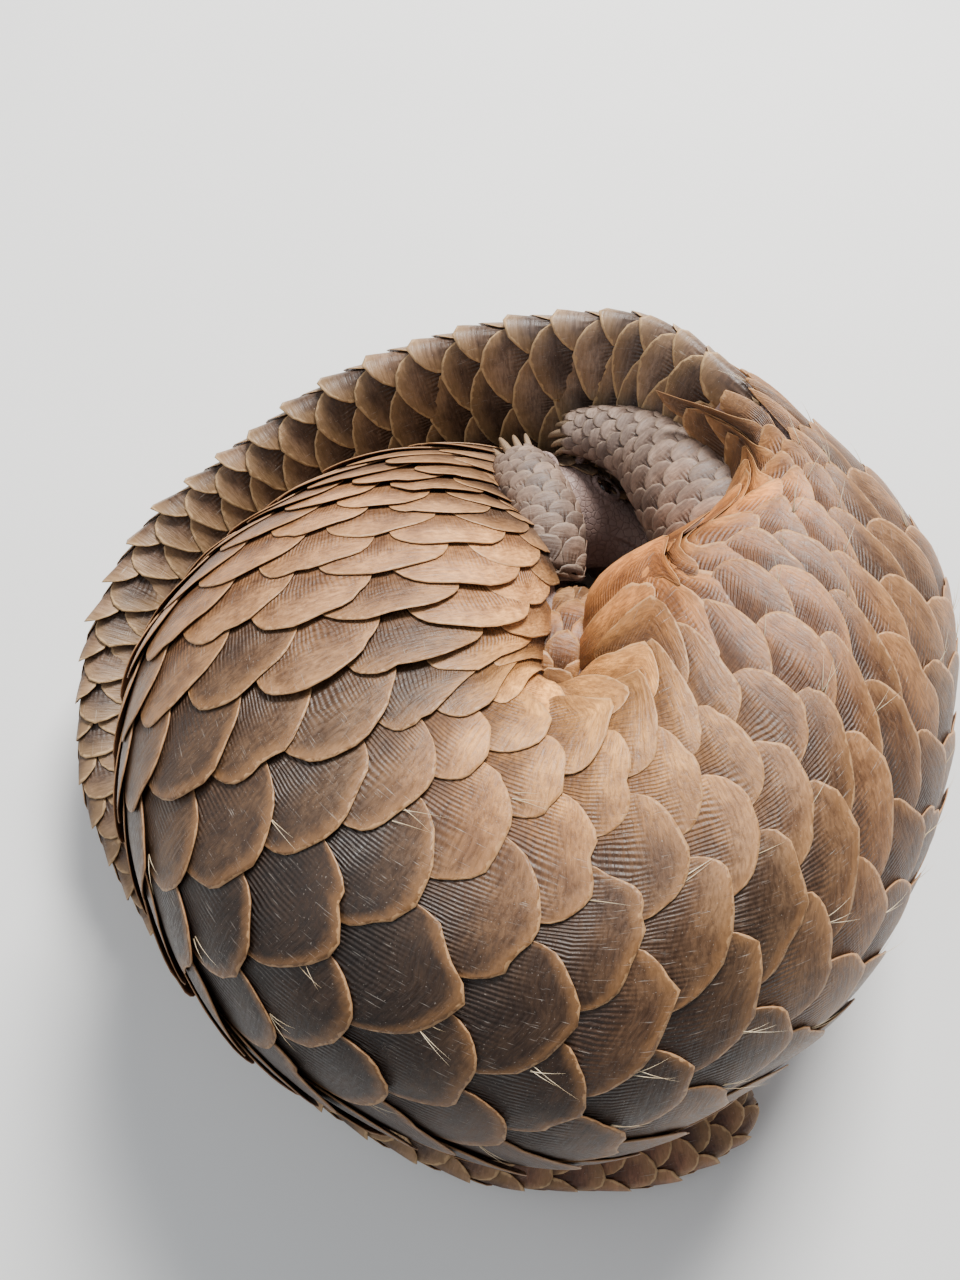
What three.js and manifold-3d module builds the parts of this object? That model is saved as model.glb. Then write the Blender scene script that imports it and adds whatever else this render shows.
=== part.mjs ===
// A Sunda pangolin curled up on its left side, life size, in millimetres.
// X runs to the right, Y away from the viewer and Z up. The floor is z = 0.
import * as THREE from 'three';
import { mergeVertices } from 'three/addons/utils/BufferGeometryUtils.js';
import Module from 'manifold-3d';

const wasm = await Module();
wasm.setup();

// Driving sizes
const GAP = 0.3;
const PLATE_RISE = 3.0;
const TAIL_RISE = 2.2;
const MARGIN_RISE = 2.5;
const CROWN_RISE = 1.2;
const LEG_RISE = 1.2;
const COVER_RISE = 3.8;
const PLATE_SLOPE = 0.085;
const UNDERCUT = 0.12;
const TIP_JITTER = 0.16;
const BODY_ARCS = [32, 62];
const TAIL_ARCS = [48];
const FLOOR_DEPTH = 60;
const TAIL_POWER = 1.5;
const ORIGIN_SHIFT = new THREE.Vector3(13.59, -28.4, 0);

// Numbers of plates
const TAIL_ROW_STEP = 1.3;
const TAIL_COLUMNS = 16;
const HEAD_ROW_STEP = 0.62;
const HEAD_COLUMNS = 14;
const LEG_ROW_STEP = 0.55;
const LEG_COLUMNS = 8;
const CROWN_HALF_ANGLE = 62;
const CROWN_END = 4.1;

// Face and feet
const EYE_RADIUS = 3.3;
const EYE_PLACE = 3.1;
const EYE_ANGLE = 66;
const EAR_PLACE = 1.35;
const EAR_ANGLE = 76;
const EAR_SIZE = [5.5, 7.5, 5];
const MOUTH_START = 4.6;
const MOUTH_END = 6.3;
const MOUTH_STEPS = 5;
const NOSTRIL_PLACE = 6.15;
const NOSTRIL_ANGLE = 35;
const MOUTH_ANGLE = 128;
const CLAW_SPACING = 3.2;
const CLAW_RADIUS = 2.3;

// Colours of the sub-parts
const HORN = 0x8a6f55;
const HORN_DARK = 0x5f5248;
const SKIN = 0xa98d86;
const EYE = 0x120d0b;

// Trunk sections from the head joint (row -6) round to the tail base (row 20).
// Each has the back line and the belly line in plan, and its top and bottom height.
const TRUNK = [
  { row: -7, back: [-8, 132], belly: [3, 95], top: 90, bottom: 35, power: 2.1 },
  { row: -6, back: [-28, 130], belly: [-1, 93], top: 96, bottom: 30, power: 2.1 },
  { row: -5, back: [-59, 122], belly: [1, 90], top: 105, bottom: 20, power: 2.2 },
  { row: -4, back: [-84, 107], belly: [4, 86], top: 114, bottom: 13, power: 2.2 },
  { row: -3, back: [-99, 91], belly: [6, 81], top: 123, bottom: 9, power: 2.25 },
  { row: -1, back: [-119, 67], belly: [9, 64], top: 134, bottom: 10, power: 2.25 },
  { row: 1, back: [-133, 28], belly: [8, 44], top: 142, bottom: 12, power: 2.25 },
  { row: 3, back: [-124, -30], belly: [3, 31], top: 148, bottom: 13, power: 2.25 },
  { row: 5, back: [-80, -86], belly: [4, 25], top: 152, bottom: 14, power: 2.25 },
  { row: 7, back: [4, -113], belly: [7, 24], top: 154, bottom: 12, power: 2.25 },
  { row: 9, back: [76, -81], belly: [11, 27], top: 155, bottom: 3, power: 2.25 },
  { row: 11, back: [115, -32], belly: [10.5, 33], top: 154, bottom: -5, power: 2.25 },
  { row: 13, back: [133, 17], belly: [11.5, 43], top: 151, bottom: -5, power: 2.25 },
  { row: 15, back: [137, 61], belly: [14, 55], top: 147, bottom: -5, power: 2.25 },
  { row: 17, back: [120, 96], belly: [48, 73], top: 142, bottom: -5, power: 1.9 },
  { row: 19, back: [92, 124], belly: [62, 95], top: 135, bottom: -2, power: 1.6 },
  { row: 20, back: [77, 140], belly: [53, 108], top: 132, bottom: 0, power: 1.5 },
  { row: 21, back: [58, 153], belly: [40, 119], top: 129, bottom: 0, power: 1.5 },
];
const BELLY_POWER = 3;
// Half rows of plates along the trunk: close on the neck and shoulder, then one each row
const NECK_ROW_STEP = 0.6;
const SHOULDER_ROWS = [-3, -2.3, -1.6, -0.8];
// Columns of plates: most of them on the side that shows, few where it lies on the floor
const SHOWN_COLUMNS = 17;
const UNDER_COLUMNS = 5;
const SHOWN_START = -48;
const SHOWN_ARC = 222;

// Small deterministic number source, so that every run gives the same plates
function seededRandom(seed) {
  let state = seed;
  return () => {
    state = (state * 1664525 + 1013904223) % 4294967296;
    return state / 4294967296;
  };
}

function smoothStep(value) {
  const t = Math.min(1, Math.max(0, value));
  return t * t * (3 - 2 * t);
}

// Value of a list of stations at a place between them, on a smooth curve
function blend(stations, key, place, read) {
  let index = 0;
  while (index < stations.length - 2 && stations[index + 1][key] <= place) index += 1;
  const from = stations[index];
  const to = stations[index + 1];
  const before = stations[Math.max(0, index - 1)];
  const after = stations[Math.min(stations.length - 1, index + 2)];
  const span = to[key] - from[key];
  const t = (place - from[key]) / span;
  const slopeFrom = (read(to) - read(before)) / (to[key] - before[key]);
  const slopeTo = (read(after) - read(from)) / (after[key] - from[key]);
  const t2 = t * t;
  const t3 = t2 * t;
  return (2 * t3 - 3 * t2 + 1) * read(from) + (t3 - 2 * t2 + t) * span * slopeFrom
    + (-2 * t3 + 3 * t2) * read(to) + (t3 - t2) * span * slopeTo;
}

function signedPower(value, power) {
  return Math.sign(value) * Math.pow(Math.abs(value), 2 / power);
}

// Point on the trunk at a row and an angle round the section, 0 at the back line, 90 on top
function trunkBase(row, angle) {
  const back = new THREE.Vector2(
    blend(TRUNK, 'row', row, (s) => s.back[0]), blend(TRUNK, 'row', row, (s) => s.back[1]));
  const belly = new THREE.Vector2(
    blend(TRUNK, 'row', row, (s) => s.belly[0]), blend(TRUNK, 'row', row, (s) => s.belly[1]));
  const top = blend(TRUNK, 'row', row, (s) => s.top);
  const bottom = blend(TRUNK, 'row', row, (s) => s.bottom);
  const turn = THREE.MathUtils.degToRad(angle);
  const backPower = blend(TRUNK, 'row', row, (s) => s.power);
  const power = backPower + (BELLY_POWER - 2.25) * smoothStep(0.5 - Math.cos(turn));
  const across = signedPower(Math.cos(turn), power);
  const up = signedPower(Math.sin(turn), power);
  const plan = belly.clone().add(back).multiplyScalar(0.5);
  plan.addScaledVector(back.clone().sub(belly), 0.5 * across);
  const height = 0.5 * (top + bottom) + 0.5 * (top - bottom) * up;
  return new THREE.Vector3(plan.x, plan.y, height);
}

// Path tubes: stations with a centre, half sizes along two axes, and the direction of the first
function pathBase(stations, place, angle, power = 2) {
  const read = (name, axis) => blend(stations, 'at', place, (s) => s[name][axis]);
  const centre = new THREE.Vector3(read('centre', 0), read('centre', 1), read('centre', 2));
  const step = 0.01;
  const next = new THREE.Vector3();
  const last = new THREE.Vector3();
  for (let axis = 0; axis < 3; axis += 1) {
    next.setComponent(axis, blend(stations, 'at', place + step, (s) => s.centre[axis]));
    last.setComponent(axis, blend(stations, 'at', place - step, (s) => s.centre[axis]));
  }
  const along = next.sub(last).normalize();
  const first = new THREE.Vector3(read('side', 0), read('side', 1), read('side', 2));
  first.addScaledVector(along, -first.dot(along)).normalize();
  const second = along.clone().cross(first).normalize();
  const half = [blend(stations, 'at', place, (s) => s.half[0]),
    blend(stations, 'at', place, (s) => s.half[1])];
  const turn = THREE.MathUtils.degToRad(angle);
  centre.addScaledVector(first, half[0] * signedPower(Math.cos(turn), power));
  centre.addScaledVector(second, half[1] * signedPower(Math.sin(turn), power));
  return centre;
}

// Outward direction of a surface at a place, from small steps along and round it
function surfaceNormal(base, place, angle, centre) {
  const along = base(place + 0.05, angle).sub(base(place - 0.05, angle));
  const round = base(place, angle + 1).sub(base(place, angle - 1));
  const normal = round.cross(along);
  if (normal.lengthSq() < 1e-12) normal.subVectors(base(place, angle), centre);
  normal.normalize();
  const outward = base(place, angle).sub(centre);
  if (normal.dot(outward) < 0) normal.negate();
  return normal;
}

function sectionCentre(base, place) {
  const centre = new THREE.Vector3();
  for (let step = 0; step < 8; step += 1) centre.add(base(place, step * 45));
  return centre.multiplyScalar(1 / 8);
}

// Geometry from points and faces, turned so that its faces look outward
function closedGeometry(points, faces) {
  let volume = 0;
  for (const [a, b, c] of faces) volume += points[a].dot(points[b].clone().cross(points[c]));
  const ordered = volume < 0 ? faces.map(([a, b, c]) => [a, c, b]) : faces;
  const geometry = new THREE.BufferGeometry();
  const flat = points.flatMap((p) => [p.x, p.y, p.z]);
  geometry.setAttribute('position', new THREE.Float32BufferAttribute(flat, 3));
  geometry.setIndex(ordered.flat());
  return geometry;
}

// Angles of the plate columns round the trunk
function trunkColumns() {
  const angles = [];
  for (let j = 0; j < SHOWN_COLUMNS; j += 1) {
    angles.push(SHOWN_START + SHOWN_ARC * j / SHOWN_COLUMNS);
  }
  for (let j = 0; j < UNDER_COLUMNS; j += 1) {
    angles.push(SHOWN_START + SHOWN_ARC + (360 - SHOWN_ARC) * j / UNDER_COLUMNS);
  }
  return angles;
}

function evenColumns(count) {
  return Array.from({ length: count }, (_, j) => 360 * j / count);
}

// Closed tube covered with staggered plates, each with a rounded free edge that lies over the
// next two. rows are the places of the half rows, arcs the angles of the points along an edge.
function platedTube(base, rows, angles, riseAt, arcs, seed) {
  const random = seededRandom(seed);
  const columns = angles.length;
  const points = [];
  const faces = [];
  const rowPlace = (x) => {
    const i = Math.min(rows.length - 2, Math.max(0, Math.floor(x)));
    return rows[i] + (rows[i + 1] - rows[i]) * (x - i);
  };
  const columnAngle = (y) => {
    const turns = Math.floor(y / columns);
    const j = Math.floor(y - turns * columns);
    const next = j + 1 < columns ? angles[j + 1] : angles[0] + 360;
    return angles[j] + (next - angles[j]) * (y - turns * columns - j) + 360 * turns;
  };
  const tips = rows.map((_, i) => angles.map((__, j) => {
    const edge = i < 2 || i > rows.length - 3;
    const shift = edge ? 0 : 1;
    const rise = riseAt(rowPlace(i), columnAngle(j)) * (0.85 + 0.3 * random());
    return { x: i + shift * TIP_JITTER * (random() - 0.5),
      y: shift * TIP_JITTER * (random() - 0.5), rise };
  }));
  const tip = (i, j) => {
    const wrapped = ((j % columns) + columns) % columns;
    const found = tips[i][wrapped];
    return { x: found.x, y: j + found.y, rise: found.rise };
  };
  const cache = new Map();
  // A point of the surface, either under the free edge (level 0) or on top of the plate
  const vertex = (key, x, y, level, rise) => {
    const lifted = level > 0 && rise > 0.05;
    const name = `${key}:${lifted ? 1 : 0}`;
    if (cache.has(name)) return cache.get(name);
    const tuck = lifted || rise <= 0.05 ? 0 : UNDERCUT * Math.min(1, rise / PLATE_RISE);
    const place = rowPlace(x - tuck);
    const angle = columnAngle(y);
    const point = base(place, angle);
    if (lifted) {
      const normal = surfaceNormal(base, place, angle, sectionCentre(base, place));
      point.addScaledVector(normal, level * rise);
    }
    cache.set(name, points.push(point) - 1);
    return points.length - 1;
  };
  const tipVertex = (i, j, level) => {
    const at = tip(i, j);
    return vertex(`t${i},${((j % columns) + columns) % columns}`, at.x, at.y, level, at.rise);
  };
  // Points along one half of a free edge, from its corner towards its tip
  const edge = (i, j, side, level) => {
    const corner = tip(i - 1, j + side);
    const end = tip(i, j);
    return arcs.map((arc, n) => {
      const turn = THREE.MathUtils.degToRad(arc);
      const x = corner.x + (end.x - corner.x) * Math.sin(turn);
      const y = corner.y + (end.y - corner.y) * (1 - Math.cos(turn));
      const key = `e${i},${((j % columns) + columns) % columns},${side},${n}`;
      return vertex(key, x, y, level * Math.pow(Math.sin(turn), 0.5), end.rise);
    });
  };
  const face = (a, b, c) => {
    if (a !== b && b !== c && a !== c) faces.push([a, b, c]);
  };
  for (let i = 2; i < rows.length; i += 1) {
    for (let j = i % 2; j < columns; j += 2) {
      const sides = [-1, 1].map((side) => [
        ...edge(i - 1, j + side, -side, 0),
        tipVertex(i - 1, j + side, 0),
        ...edge(i, j, side, 1),
      ]);
      const top = tipVertex(i - 2, j, 0);
      const end = tipVertex(i, j, 1);
      const [left, right] = sides;
      face(top, left[0], right[0]);
      for (let n = 0; n + 1 < left.length; n += 1) {
        face(left[n], left[n + 1], right[n + 1]);
        face(left[n], right[n + 1], right[n]);
      }
      face(left[left.length - 1], end, right[right.length - 1]);
      if (i === rows.length - 1) continue;
      for (const side of [-1, 1]) {
        const corner = tipVertex(i - 1, j + side, 0);
        const upper = [corner, ...edge(i, j, side, 1), end];
        const lower = [corner, ...edge(i, j, side, 0), tipVertex(i, j, 0)];
        for (let n = 0; n + 1 < upper.length; n += 1) {
          const quad = side < 0 ? [upper[n], lower[n], lower[n + 1], upper[n + 1]]
            : [upper[n + 1], lower[n + 1], lower[n], upper[n]];
          face(quad[0], quad[1], quad[2]);
          face(quad[0], quad[2], quad[3]);
        }
      }
    }
  }
  // Fans that close the two ends, past where the tube is cut
  const close = (i, level, place, flip) => {
    const middle = points.push(sectionCentre(base, place)) - 1;
    for (let j = i % 2; j < columns; j += 2) {
      const left = [tipVertex(i - 1, j - 1, 0), ...edge(i, j, -1, level), tipVertex(i, j, level)];
      const right = [tipVertex(i - 1, j + 1, 0), ...edge(i, j, 1, level), tipVertex(i, j, level)];
      for (let n = 0; n + 1 < left.length; n += 1) {
        if (flip) face(left[n + 1], left[n], middle);
        else face(left[n], left[n + 1], middle);
        if (flip) face(right[n], right[n + 1], middle);
        else face(right[n + 1], right[n], middle);
      }
    }
  };
  close(1, 0, rows[0] - (rows[1] - rows[0]), false);
  const last = rows.length - 1;
  close(last, 1, rows[last] + (rows[last] - rows[last - 1]) * 0.7, true);
  return closedGeometry(points, faces);
}

// Smooth closed tube with fans at its two ends
function plainTube(base, from, to, steps, sides, lift = 0) {
  const points = [];
  const faces = [];
  for (let i = 0; i <= steps; i += 1) {
    const place = from + (to - from) * i / steps;
    const centre = sectionCentre(base, place);
    for (let j = 0; j < sides; j += 1) {
      const angle = 360 * j / sides;
      const point = base(place, angle);
      if (lift) point.addScaledVector(surfaceNormal(base, place, angle, centre), lift);
      points.push(point);
    }
  }
  for (let i = 0; i < steps; i += 1) {
    for (let j = 0; j < sides; j += 1) {
      const a = i * sides + j;
      const b = i * sides + (j + 1) % sides;
      faces.push([a, b, b + sides], [a, b + sides, a + sides]);
    }
  }
  for (const end of [0, steps]) {
    const middle = points.length;
    points.push(sectionCentre(base, from + (to - from) * end / steps));
    for (let j = 0; j < sides; j += 1) {
      const a = end * sides + j;
      const b = end * sides + (j + 1) % sides;
      faces.push(end === 0 ? [b, a, middle] : [a, b, middle]);
    }
  }
  return closedGeometry(points, faces);
}

// The tail goes on from the trunk, round the far side, down the left and under the near edge.
// side points to the margin that is up or out; half is the half width and half thickness.
const TAIL = [
  { at: -1, centre: [73, 114, 66], side: [0, 0, 1], half: [66.5, 22] },
  { at: 0, centre: [65, 124, 66], side: [0, 0, 1], half: [66, 20] },
  { at: 3, centre: [37, 153, 61], side: [0, 0, 1], half: [60, 19] },
  { at: 6, centre: [-12, 160, 54], side: [0, 0, 1], half: [53, 18] },
  { at: 9, centre: [-60, 149, 46], side: [-0.05, 0.1, 1], half: [45, 16.5] },
  { at: 12, centre: [-99, 125, 38], side: [-0.2, 0.15, 0.95], half: [38, 15.5] },
  { at: 15, centre: [-127, 97, 32], side: [-0.45, 0.2, 0.85], half: [34, 14.5] },
  { at: 18, centre: [-141, 61, 27], side: [-0.65, 0.1, 0.75], half: [31, 13.5] },
  { at: 21, centre: [-140, 25, 23], side: [-0.8, 0, 0.6], half: [29, 12.5] },
  { at: 24, centre: [-123, -9, 20], side: [-0.85, -0.15, 0.5], half: [28, 12] },
  { at: 27, centre: [-97, -42, 18], side: [-0.7, -0.55, 0.45], half: [27, 11.5] },
  { at: 30, centre: [-62, -72, 16], side: [-0.45, -0.8, 0.42], half: [26, 11] },
  { at: 33, centre: [-20, -93, 14], side: [-0.1, -0.9, 0.36], half: [25, 10.5] },
  { at: 36, centre: [26, -100, 12], side: [0.05, -0.92, 0.32], half: [22, 9.5] },
  { at: 39, centre: [66, -92, 10], side: [0.2, -0.9, 0.3], half: [15, 8] },
  { at: 40, centre: [76, -89, 9.5], side: [0.2, -0.9, 0.3], half: [6, 4] },
];

// The head points right inside the coil, with its right side up
const HEAD = [
  { at: -1, centre: [-25, 104, 62], side: [-0.7, 0.8, 0], half: [22, 29] },
  { at: 0, centre: [-13, 109, 62], side: [-0.4, 0.95, 0], half: [22.5, 28] },
  { at: 1, centre: [0, 111, 62], side: [-0.1, 1, 0], half: [22.5, 26.5] },
  { at: 2, centre: [13, 110.5, 62], side: [0.05, 1, 0], half: [21, 24.5] },
  { at: 3, centre: [22.5, 108, 61.5], side: [0.2, 1, 0], half: [17.5, 20] },
  { at: 4, centre: [31.5, 104.5, 60.5], side: [0.25, 1, 0], half: [13.5, 15] },
  { at: 5, centre: [39.5, 100, 59.5], side: [0.25, 1, 0], half: [10, 11.5] },
  { at: 6, centre: [46.5, 95.5, 58.5], side: [0.25, 1, 0], half: [8, 9] },
  { at: 6.4, centre: [49, 94, 58], side: [0.25, 1, 0], half: [5.5, 6] },
];

// side is the direction of the first half size; bend is where the claws curl to
const LEGS = {
  leg_front_right: {
    plates: true,
    clawLength: 17,
    bend: [0.2, 0.2, -1],
    stations: [
      { at: 0, centre: [2, 74, 90], side: [0, 0, 1], half: [14, 15] },
      { at: 1, centre: [4, 86, 96], side: [0, 0, 1], half: [11, 13] },
      { at: 2, centre: [2, 97, 99], side: [0, 0, 1], half: [8.5, 11] },
      { at: 3, centre: [-3, 108, 98.5], side: [0, 0, 1], half: [7, 10] },
      { at: 4, centre: [-7, 116, 97], side: [0, 0, 1], half: [4.5, 7.5] },
    ],
  },
  leg_front_left: {
    plates: false,
    clawLength: 14,
    bend: [0, 0, -0.3],
    stations: [
      { at: 0, centre: [-22, 80, 22], side: [0, 0, 1], half: [14, 14] },
      { at: 1, centre: [-12, 92, 17], side: [0, 0, 1], half: [12, 12] },
      { at: 2, centre: [0, 101, 12], side: [0, 0, 1], half: [10, 10] },
      { at: 3, centre: [11, 107, 10], side: [0, 0, 1], half: [8, 9] },
      { at: 4, centre: [17, 110, 8], side: [0, 0, 1], half: [5, 6] },
    ],
  },
  leg_hind_right: {
    plates: true,
    clawLength: 12,
    bend: [0.2, 0.1, -1],
    stations: [
      { at: 0, centre: [66, 78, 100], side: [0, 0, 1], half: [20, 22] },
      { at: 1, centre: [59, 93, 99], side: [0, 0, 1], half: [19, 21] },
      { at: 2, centre: [50, 108, 98], side: [0, 0, 1], half: [17, 18] },
      { at: 3, centre: [40, 120, 95], side: [0, 0, 1], half: [13, 14] },
      { at: 4, centre: [26, 128, 92], side: [0, 0, 1], half: [9, 10] },
      { at: 5, centre: [13, 131, 89], side: [0, 0, 1], half: [6, 7] },
    ],
  },
  leg_hind_left: {
    plates: false,
    clawLength: 10,
    bend: [0, 0, -0.3],
    stations: [
      { at: 0, centre: [62, 78, 24], side: [0, 0, 1], half: [18, 18] },
      { at: 1, centre: [56, 93, 20], side: [0, 0, 1], half: [16, 15] },
      { at: 2, centre: [47, 107, 15], side: [0, 0, 1], half: [12, 12] },
      { at: 3, centre: [36, 116, 12], side: [0, 0, 1], half: [10, 10] },
      { at: 4, centre: [27, 121, 9], side: [0, 0, 1], half: [6, 7] },
    ],
  },
};

// Manifold solids from geometry and back
function toSolid(geometry) {
  const bare = geometry.clone();
  bare.deleteAttribute('normal');
  bare.deleteAttribute('uv');
  const merged = mergeVertices(bare, 1e-3);
  return new wasm.Manifold(new wasm.Mesh({
    numProp: 3,
    vertProperties: Float32Array.from(merged.attributes.position.array),
    triVerts: Uint32Array.from(merged.index.array),
  }));
}

function fromSolid(solid) {
  const mesh = solid.getMesh();
  const geometry = new THREE.BufferGeometry();
  geometry.setAttribute('position', new THREE.Float32BufferAttribute(mesh.vertProperties, 3));
  geometry.setIndex(Array.from(mesh.triVerts));
  return geometry;
}

function largestPart(solid) {
  const parts = solid.decompose();
  parts.sort((a, b) => b.volume() - a.volume());
  return parts[0];
}

const pangolin = new THREE.Group();

const floorBox = new THREE.BoxGeometry(1000, 1000, FLOOR_DEPTH).translate(0, 0, -FLOOR_DEPTH / 2);
const floor = toSolid(floorBox);

// Adds a solid as a node, with a flat where it lies on the floor
function addNode(name, solid, color, roughness = 0.55) {
  const resting = largestPart(solid.subtract(floor));
  const material = new THREE.MeshStandardMaterial({ color, roughness, metalness: 0 });
  const node = new THREE.Mesh(fromSolid(resting), material);
  node.name = name;
  node.geometry.translate(ORIGIN_SHIFT.x, ORIGIN_SHIFT.y, ORIGIN_SHIFT.z);
  pangolin.add(node);
}

const HEAD_ROW = -6;
const TAIL_ROW = 20;
const TRUNK_PARTS = [
  ['neck', HEAD_ROW, -3], ['torso_shoulder', -3, 3], ['torso_middle', 3, 11],
  ['torso_hip', 11, TAIL_ROW],
];
const TAIL_END = 40;
const TAIL_PARTS = [['tail_1', 0, 9], ['tail_2', 9, 18], ['tail_3', 18, 27], ['tail_4', 27, 40]];
const tailBase = (place, angle) => pathBase(TAIL, place, angle, TAIL_POWER);
const headBase = (place, angle) => pathBase(HEAD, place, angle);

// How far a plate's free edge stands up: less where the plates are short
function plateRise(base, place, angle, most) {
  const pitch = base(place + 0.5, angle).distanceTo(base(place - 0.5, angle));
  return Math.min(most, PLATE_SLOPE * pitch * 2);
}

// Block across a section of a tube. offset moves it along the tube, reach widens it past
// the back, the top and the bottom, and nearReach past the belly.
function sectionBlock(base, place, thickness, offset, reach = 9, nearReach = 2.5) {
  const back = base(place, 0);
  const belly = base(place, 180);
  const across = back.clone().sub(belly).normalize();
  const up = base(place, 90).sub(base(place, 270));
  up.addScaledVector(across, -up.dot(across)).normalize();
  const along = up.clone().cross(across);
  const middle = back.clone().addScaledVector(across, reach);
  middle.add(belly.clone().addScaledVector(across, -nearReach)).multiplyScalar(0.5);
  middle.addScaledVector(along, offset);
  const width = back.distanceTo(belly) + reach + nearReach;
  const height = base(place, 90).distanceTo(base(place, 270)) + 2 * reach;
  const block = new THREE.BoxGeometry(height, width, thickness);
  block.applyMatrix4(new THREE.Matrix4().makeBasis(up, across, along)
    .setPosition(middle.x, middle.y, middle.z));
  return toSolid(block);
}

// The piece of a cut tube that lies nearest to a place on its surface
function pieceAt(pieces, point) {
  let best = null;
  let bestDistance = Infinity;
  for (const piece of pieces) {
    const { vertProperties } = piece.getMesh();
    for (let i = 0; i < vertProperties.length; i += 3) {
      const distance = Math.hypot(vertProperties[i] - point.x,
        vertProperties[i + 1] - point.y, vertProperties[i + 2] - point.z);
      if (distance < bestDistance) {
        bestDistance = distance;
        best = piece;
      }
    }
  }
  return best;
}

// Cuts a tube into its named lengths
function addLengths(solid, base, lengths, color) {
  let cut = solid;
  for (const [, from] of lengths.slice(1)) {
    cut = cut.subtract(sectionBlock(base, from, GAP, 0));
  }
  const pieces = cut.decompose();
  for (const [name, from, to] of lengths) {
    addNode(name, pieceAt(pieces, base((from + to) / 2, 90)), color);
  }
}

// A curved claw from its root along a direction, bending towards a second one
function claw(root, along, bend, length, radius) {
  const stations = [0, 1, 2, 3].map((at) => {
    const t = at / 3;
    const centre = root.clone().addScaledVector(along, length * Math.sin(1.25 * t) / 0.95)
      .addScaledVector(bend, length * (1 - Math.cos(1.25 * t)) * 0.7);
    const size = radius * (1 - 0.86 * t * t);
    return { at, centre: centre.toArray(), side: bend.toArray(), half: [size, size * 0.8] };
  });
  return toSolid(plainTube((place, angle) => pathBase(stations, place, angle), 0, 3, 3, 5));
}

// Five claws on a foot: three long ones in the middle and a short one on each side
function footClaws(legBase, last, bend, length) {
  const root = sectionCentre(legBase, last - 0.15);
  const along = root.clone().sub(sectionCentre(legBase, last - 1)).normalize();
  const spread = bend.clone().cross(along).normalize();
  return [-2, -1, 0, 1, 2].map((n) => {
    const start = root.clone().addScaledVector(spread, n * CLAW_SPACING);
    const way = along.clone().addScaledVector(spread, 0.12 * n).normalize();
    const size = length * (1 - 0.17 * Math.abs(n));
    const radius = CLAW_RADIUS * (1 - 0.12 * Math.abs(n));
    return claw(start.addScaledVector(way, -2), way, bend, size, radius);
  });
}

const trunkRows = [];
for (let row = -6 - 2 * NECK_ROW_STEP; row < -3.01; row += NECK_ROW_STEP) trunkRows.push(row);
trunkRows.push(...SHOULDER_ROWS);
for (let row = 0; row <= 22; row += 1) trunkRows.push(row);
let trunk = toSolid(platedTube(trunkBase, trunkRows, trunkColumns(),
  (row, angle) => plateRise(trunkBase, row, angle, PLATE_RISE), BODY_ARCS, 11));
trunk = trunk.subtract(sectionBlock(trunkBase, TAIL_ROW, 60, 30));
trunk = trunk.subtract(sectionBlock(trunkBase, HEAD_ROW, 60, -30));
addLengths(trunk, trunkBase, TRUNK_PARTS, HORN);
const trunkCover = toSolid(plainTube(trunkBase, HEAD_ROW, TAIL_ROW, 78, 30, COVER_RISE));

const tailRows = [];
for (let row = -2; row < TAIL_END; row += TAIL_ROW_STEP) tailRows.push(row);
let tail = toSolid(platedTube(tailBase, tailRows, evenColumns(TAIL_COLUMNS), (row, angle) => {
  const margin = Math.pow(Math.abs(Math.cos(THREE.MathUtils.degToRad(angle))), 6);
  return plateRise(tailBase, row, angle, TAIL_RISE + MARGIN_RISE * margin);
}, TAIL_ARCS, 23));
tail = tail.subtract(sectionBlock(trunkBase, TAIL_ROW, 60, GAP - 30, 20, 20));
tail = tail.subtract(trunkCover);
addLengths(tail, tailBase, TAIL_PARTS, HORN_DARK);
const tailCover = toSolid(plainTube(tailBase, -1, TAIL_END, 82, 20, COVER_RISE));

// Crown plates lie from the nape to the brow, and the face is bare skin
function crownRise(place, angle) {
  const turn = Math.abs(((angle + 180) % 360 + 360) % 360 - 180);
  const sides = smoothStep((CROWN_HALF_ANGLE - turn) / 14);
  const front = smoothStep((CROWN_END - place) / 0.5);
  return plateRise(headBase, place, angle, CROWN_RISE) * sides * front;
}

const headRows = [];
for (let row = -1.6; row < 6.45; row += HEAD_ROW_STEP) headRows.push(row);
let head = toSolid(platedTube(headBase, headRows, evenColumns(HEAD_COLUMNS), crownRise,
  TAIL_ARCS, 37));
head = head.subtract(sectionBlock(trunkBase, HEAD_ROW, 60, 30 - GAP, 20, 20));
head = head.subtract(trunkCover);
const headCover = toSolid(plainTube(headBase, -1, 6.4, 20, 24, CROWN_RISE + GAP));

function headSpot(place, angle, lift) {
  const normal = surfaceNormal(headBase, place, angle, sectionCentre(headBase, place));
  return headBase(place, angle).addScaledVector(normal, lift);
}

// Turns a shape so that its Z axis looks out of the head and its X axis along it
function setOnHead(shape, place, angle, lift) {
  const spot = headSpot(place, angle, lift);
  const out = surfaceNormal(headBase, place, angle, sectionCentre(headBase, place));
  const along = headBase(place + 0.1, angle).sub(headBase(place - 0.1, angle));
  along.addScaledVector(out, -along.dot(out)).normalize();
  const side = out.clone().cross(along);
  shape.applyMatrix4(new THREE.Matrix4().makeBasis(along, side, out).setPosition(spot));
  return toSolid(shape);
}

function ellipsoid(sizes, around = 10, rings = 7) {
  return new THREE.SphereGeometry(1, around, rings).scale(...sizes);
}

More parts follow.
